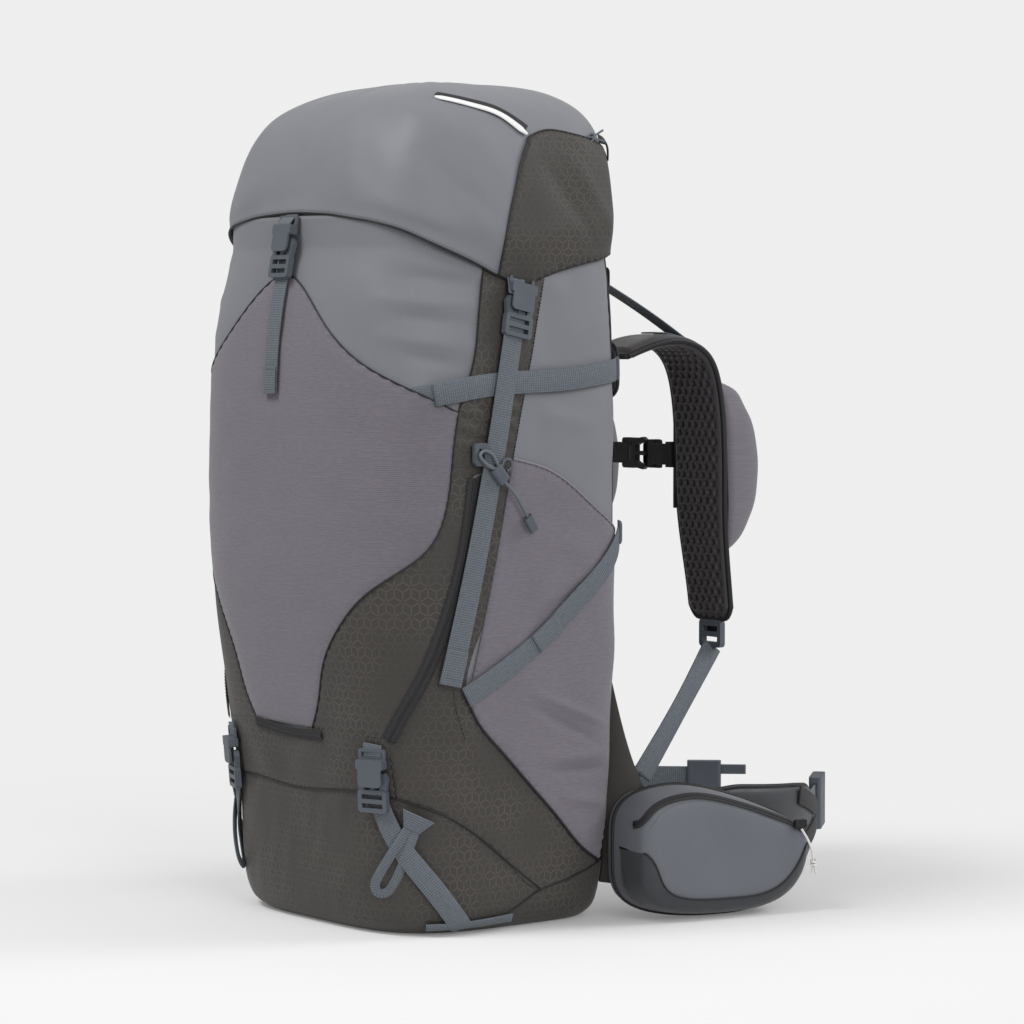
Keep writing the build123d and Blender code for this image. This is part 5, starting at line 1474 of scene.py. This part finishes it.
def build_harness_straps():
    """Load lifters, lower strap webbings and the sternum strap's two pieces."""
    harness = body_of("yoke")
    for side, hand in SIDES:
        lifter = free_strap(f"load_lifter_{hand}", (side * 0.108, 0.1155, 0.568),
                            (side * STRAP_X, 0.2185, 0.516), 18 * MM, ("bag", harness), "grey_webbing",
                            (0, 0.4, 1.0), 1.5 * MM)
        lower = free_strap(f"lower_webbing_{hand}", (side * 0.142, 0.1335, 0.1235),
                           (side * STRAP_X, 0.2535, 0.2325), 19 * MM, ("bag", harness), "grey_webbing",
                           (side * 1.0, -0.35, 0.2), 3 * MM, 0.3)
        if side > 0:
            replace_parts(lifter, "load_lifters")
            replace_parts(lower, "strap_webbings")
        patch_path = np.stack([np.full(20, side * STRAP_X), np.linspace(0.2175, 0.2265, 20),
                               np.linspace(0.5185, 0.497, 20)], 1)
        ribbon(f"lifter_patch_{hand}", patch_path, np.tile((0, 0.92, 0.4), (20, 1)), 20 * MM, 1.8 * MM,
               harness, "black_webbing")
        foot = np.stack([np.full(26, side * STRAP_X), np.linspace(0.2545, 0.2555, 26),
                         np.linspace(0.268, 0.244, 26)], 1)
        ribbon(f"strap_foot_webbing_{hand}", foot, np.tile((0, 1.0, 0), (26, 1)), 20 * MM, 1.6 * MM, harness,
               "black_webbing")
    body = body_of("sternum_strap")
    pieces = []
    for name, start, end in (("sternum_webbing_left", -0.0552, -0.002),
                             ("sternum_webbing_right", 0.032, 0.0552)):
        path = np.stack([np.linspace(start, end, 30), np.full(30, 0.2385), np.full(30, 0.411)], 1)
        pieces.append(ribbon(name, path, np.tile((0, 1.0, 0), (30, 1)), 20 * MM, 1.4 * MM, body,
                             "black_webbing"))
    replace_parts(pieces[0], "sternum_strap")


build_straps()
build_loops()
build_pole_cords()
build_back()
build_shoulder_straps()
build_harness_straps()


# ---- hip belt ---------------------------------------------------------------------------------------
WING_CENTRE, WING_INNER, WING_FOAM = (-0.014, 0.215), 0.192, 0.013
WING_LOW = ([0.10, 0.112, 0.140, 0.210, 0.300, 0.330, 0.352, 0.36],
            [0.022, 0.022, 0.010, 0.008, 0.016, 0.034, 0.052, 0.056])
WING_HIGH = ([0.10, 0.112, 0.210, 0.300, 0.330, 0.352, 0.36],
             [0.104, 0.104, 0.112, 0.104, 0.100, 0.088, 0.084])


def round_wing(side, radius, turn):
    """X and Y at a radius and turn about the wing's centre."""
    return side * (WING_CENTRE[0] + radius * np.cos(turn)), WING_CENTRE[1] + radius * np.sin(turn)


def build_wing(side, hand):
    """Padded wing: an arc with crowned faces, a pitted inner mesh and bound edges."""
    body = body_of(f"hip_wing_{hand}")
    turns = np.radians(np.linspace(-31.8, 41.8, 260))
    _, y = round_wing(side, WING_INNER + WING_FOAM / 2, turns)
    low, high = np.interp(y, *WING_LOW), np.interp(y, *WING_HIGH)
    weights = [0.1, 0.2, 0.4, 0.2, 0.1]
    for _ in range(30):
        low, high = (np.convolve(np.pad(v, 2, "edge"), weights, "valid") for v in (low, high))
    u = np.concatenate([np.linspace(-1, 1, 60), np.linspace(1, -1, 40)])
    inner = np.r_[np.ones(60, bool), np.zeros(40, bool)]
    edge = np.maximum(1 - np.abs(u) ** 6, 0) ** 0.5
    z = (low + high)[:, None] / 2 + (high - low)[:, None] / 2 * u[None]
    radius = np.where(inner, 6.5 - 6.2 * edge, 6.5 + 6.2 * edge)[None] * MM * np.ones_like(z)
    run_length = (turns - turns[0]) * WING_INNER
    pits = hex_dimples(run_length[:, None] * np.ones_like(z), z, 9.0 * MM, 2.0 * MM)
    radius = radius + np.where(inner[None], pits * smooth((0.86 - np.abs(u))[None] / 0.08), 0)
    ends = smooth(np.minimum(np.arange(260), 259 - np.arange(260)) / 10)[:, None]
    radius = 6.5 * MM + (radius - 6.5 * MM) * (0.3 + 0.7 * ends)
    x, y = round_wing(side, WING_INNER + radius, turns[:, None])
    points = np.stack([x, y, z], -1)
    faces = grid_faces(260, 100, wrap_columns=True).tolist()
    faces += [list(range(100)), list(range(259 * 100, 260 * 100))[::-1]]
    if side < 0:
        faces = [f[::-1] for f in faces]
    uv = np.stack([run_length[:, None] * np.ones_like(z), z], -1)
    wing = mesh_piece(f"hip_wing_pad_{hand}", points, faces, body, "foam_cloth", uv)
    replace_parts(wing, f"hip_wing_{hand}")
    x, y = round_wing(side, WING_INNER + WING_FOAM / 2, turns)
    rim = np.concatenate([np.stack([x, y, high], 1), np.stack([x, y, low], 1)[::-1]])
    tube(f"hip_wing_binding_{hand}", np.concatenate([rim, rim[:1]]), 2.4 * MM, body, "dark_binding", 10)
    tip = np.radians(np.linspace(24, 42.5, 40))
    for name, rise in (("upper", 1), ("lower", -1)):
        x, y = round_wing(side, WING_INNER + WING_FOAM + 0.4 * MM, tip)
        z = 0.070 + rise * np.linspace(26, 5, 40) * MM
        normals = np.stack([side * np.cos(tip), np.sin(tip), np.zeros(40)], 1)
        ribbon(f"hip_tip_{name}_{hand}", np.stack([x, y, z], 1), normals, 17 * MM, 1.6 * MM, body,
               "black_webbing")


POCKET_HALF = (0.094, 0.0600)
POCKET_BULGE = 0.036
POCKET_TILT = math.radians(-10.5)          # turn of its middle about the wing's centre


def pocket_outline(turn):
    """Edge of a hip pocket at a turn: a superellipse blunt to the front, whose top slopes to the tip."""
    power = 3.3 - 0.9 * np.cos(turn)
    reach = superellipse(turn, power)
    a, b = reach * np.cos(turn), reach * np.sin(turn)
    drop = np.where(b > 0, 0.50 * smooth((a + 0.55) / 1.55), 0.04 * smooth((-a) / 1.0))
    return POCKET_HALF[0] * a, POCKET_HALF[1] * b * (1 - drop)


def pocket_axes(side):
    """Directions out of a hip pocket and level along it."""
    return (np.array((side * math.cos(POCKET_TILT), math.sin(POCKET_TILT), 0)),
            np.array((-side * math.sin(POCKET_TILT), math.cos(POCKET_TILT), 0)))


def pocket_face(side):
    """A hip pocket by turn and share r of its outline: offset falls from the middle as (1 - r^9)^0.45."""
    out, along = pocket_axes(side)
    middle_x, middle_y = round_wing(side, WING_INNER + WING_FOAM, POCKET_TILT)
    middle = np.array((middle_x, middle_y, 0.0612))

    def point(turn, r, lift=0.0):
        turn, r = np.broadcast_arrays(np.asarray(turn, float), np.asarray(r, float))
        edge_a, edge_b = pocket_outline(turn)
        a, b = edge_a * r, edge_b * r
        sag = 0.9 * MM * ripple(a, b, 0.06, 61) * smooth((0.97 - r) / 0.2)
        dome = np.maximum(1 - r ** 9, 0) ** 0.45 * (1 - 0.03 * a / POCKET_HALF[0])
        height = POCKET_BULGE * dome + sag + lift
        wrap = -(a ** 2) / (2 * (WING_INNER + WING_FOAM)) * smooth((r - 0.92) / 0.08)
        return (middle + along * a[..., None] + np.array((0, 0, 1.0)) * b[..., None]
                + out * (height + wrap)[..., None])
    return point


def build_hip_pocket(side, hand):
    """Zipped hip pocket: domed body, an arched zip and a dark band along its foot."""
    body = body_of(f"hip_pocket_{hand}")
    face = pocket_face(side)
    turn = np.linspace(0, 2 * np.pi, 260, endpoint=False)[None]
    r = np.concatenate([[1.0], 1 - np.linspace(0.0012, 0.34, 30), np.linspace(0.62, 0.03, 34)])[:, None]
    points = face(turn, r)
    edge_a, edge_b = pocket_outline(turn)
    faces = grid_faces(len(r), 260, wrap_columns=True).tolist()
    last = (len(r) - 1) * 260
    faces += [[last + j, last + (j + 1) % 260, last + 260] for j in range(260)]
    if side < 0:
        faces = [f[::-1] for f in faces]
    uv = np.concatenate([np.stack([edge_a * r, edge_b * r], -1).reshape(-1, 2), [[0, 0]]])
    closed = np.concatenate([points.reshape(-1, 3), [points[-1].mean(0)]])
    pocket = mesh_piece(f"hip_pocket_cloth_{hand}", closed, faces, body, "pocket_nylon", uv)
    thicken(pocket, 1.2 * MM)
    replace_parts(pocket, f"hip_pocket_{hand}")

    def lying(turns, shares, lift):
        """Path and outward normals of a line on the pocket."""
        step = 0.004
        path = face(turns, shares, lift)
        normal = np.cross(face(turns + step, shares) - face(turns - step, shares),
                          face(turns, shares - step) - face(turns, shares + step)) * -side
        normal = normal / np.linalg.norm(normal, axis=-1, keepdims=True)
        facing = (normal @ pocket_axes(side)[0])[:, None]
        return path, np.where(facing < 0, -normal, normal)

    arc = np.radians(np.linspace(155, 8, 90))
    share = 0.955 - 0.10 * np.sin(np.linspace(0, np.pi, 90)) ** 0.6
    path, normals = lying(arc, share, 0.5 * MM)
    ribbon(f"hip_pocket_zip_{hand}", path, normals, 7 * MM, 0.9 * MM, body, "zip_tape")
    tube(f"hip_pocket_coil_{hand}", path + normals * 0.9 * MM, 0.9 * MM, body, "dark_binding", 8)
    above, above_normals = lying(arc, share - 0.075, 0.3 * MM)
    stitches(f"hip_pocket_stitches_{hand}", above, above_normals, body, "dark_cord", lift=0.1 * MM)
    band_turn = np.radians(np.linspace(176, 362, 110))[None]
    depth = 0.27 * np.sin(np.linspace(0, np.pi, 110)) ** 0.35
    band_r = 0.985 - np.linspace(0, 1, 24)[:, None] * depth[None]
    edge_a, edge_b = pocket_outline(band_turn)
    band_faces = grid_faces(24, 110)
    band = mesh_piece(f"hip_pocket_band_{hand}", face(band_turn, band_r, 0.9 * MM),
                      band_faces if side > 0 else band_faces[:, ::-1], body, "foam_cloth",
                      np.stack([edge_a * band_r, edge_b * band_r], -1))
    thicken(band, 0.8 * MM)
    tube(f"hip_pocket_band_seam_{hand}", face(band_turn[0], band_r[-1], 1.1 * MM), 0.9 * MM, body,
         "dark_binding", 8)
    rim = face(np.linspace(0, 2 * np.pi, 181), 0.997, 0.0)
    tube(f"hip_pocket_rim_{hand}", rim, 2.0 * MM, body, "dark_binding", 8)


def build_hip_ends(side, hand):
    """Hip webbing at each wing's tip, the zip pull cord and its knot."""
    turn = math.radians(42)
    tip_x, tip_y = round_wing(side, WING_INNER + WING_FOAM / 2, turn)
    direction = np.array((-side * math.sin(turn), math.cos(turn), 0))
    facing = np.array((side * math.cos(turn), math.sin(turn), 0))
    share = np.linspace(0.0005, 0.0925, 60)[:, None]
    path = np.array((tip_x, tip_y, 0.070)) + direction * share
    strap = ribbon(f"hip_webbing_strap_{hand}", path - facing * 0.7 * MM, np.tile(facing, (60, 1)),
                   38 * MM, 1.4 * MM, body_of(f"hip_webbing_{hand}"), "grey_webbing")
    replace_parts(strap, f"hip_webbing_{hand}")
    body = body_of(f"hip_zip_slider_{hand}")
    out, along = pocket_axes(side)
    up = np.array((0, 0, 1.0))
    middle_x, middle_y = round_wing(side, WING_INNER + WING_FOAM + POCKET_BULGE + 0.6 * MM, POCKET_TILT)
    rest = math.radians(34)
    arc, arc_drop = 0.130, 0.088           # radius of the zip's arc, and its centre below the middle
    spot = (np.array((middle_x, middle_y, 0.061)) + along * arc * math.sin(rest)
            + up * (arc * math.cos(rest) - arc_drop))
    route = [(0, -4.5, 0), (5, -13, 2.5), (10, -24, 2.5), (13, -35, 0)]
    places = [spot + along * a * MM + up * b * MM + out * (2 + c) * MM for a, b, c in route]
    cord = cord_curve(f"hip_zip_pull_{hand}", places, 2.2 * MM, body, "pale_cord")
    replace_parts(cord, f"hip_zip_cord_{hand}")
    knot_centre = places[-1]
    share = np.linspace(0, 1, 60)[:, None]
    angle = share * 2 * np.pi * 2.2
    knot = (knot_centre + along * np.cos(angle) * 2.2 * MM + out * np.sin(angle) * 2.2 * MM
            + up * (share * 6 - 4) * MM)
    knot_piece = tube(f"hip_zip_knot_{hand}", knot, 1.1 * MM, body, "pale_cord", 8)
    for index, (a, b) in enumerate(((2.5, -9), (-1.5, -8))):
        tail = run([knot_centre - up * 3 * MM, knot_centre + along * a * 0.5 * MM - up * 6 * MM,
                    knot_centre + along * a * MM + up * (b - 2) * MM], 14)
        tube(f"hip_zip_tail_{index}_{hand}", tail, 0.9 * MM, body, "pale_cord", 8)


def build_stabiliser(side, hand):
    """Cloth web from the bag's back edge to the belt: straight across, its upper edge hollowed by a sine."""
    across, rows = np.linspace(0, 1, 40)[None], np.linspace(0, 1, 60)[:, None]
    level = 0.030 + 0.190 * rows
    start = bag(np.full((60, 1), side * 0.4020), level, 0.8 * MM)
    turn = math.radians(-27)
    x, y = round_wing(side, WING_INNER + WING_FOAM + 4.0 * MM, turn)
    end = np.stack([np.full_like(rows, x), np.full_like(rows, y), 0.026 + 0.080 * rows], -1)
    points = start + (end - start) * across[..., None]
    points[..., 2] -= 16 * MM * np.sin(np.pi * across) * rows ** 2
    points[..., 0] += side * 4 * MM * np.sin(np.pi * across) * np.sin(np.pi * rows)
    faces = grid_faces(60, 40)
    web = mesh_piece(f"belt_web_{hand}", points, faces if side > 0 else faces[:, ::-1], "bag", "dark_nylon",
                     np.stack([across * 0.05 + 0 * rows, level + 0 * across], -1))
    thicken(web, 1.0 * MM)
    web.parent = None
    del web["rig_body"]
    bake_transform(web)


for belt_side, belt_hand in SIDES:
    build_stabiliser(belt_side, belt_hand)
    build_wing(belt_side, belt_hand)
    build_hip_pocket(belt_side, belt_hand)
    build_hip_ends(belt_side, belt_hand)

# ---- moulded and metal pieces keep their CAD shape ----------------------------------------------------
MOULDED = {part["node"]: part["material_slot"] for part in frame["record"]["subparts"]}
for node_name, node in frame["nodes"].items():
    if not node.hide_render:
        node.data.materials.clear()
        node.data.materials.append(MATERIALS[MOULDED[node_name]])
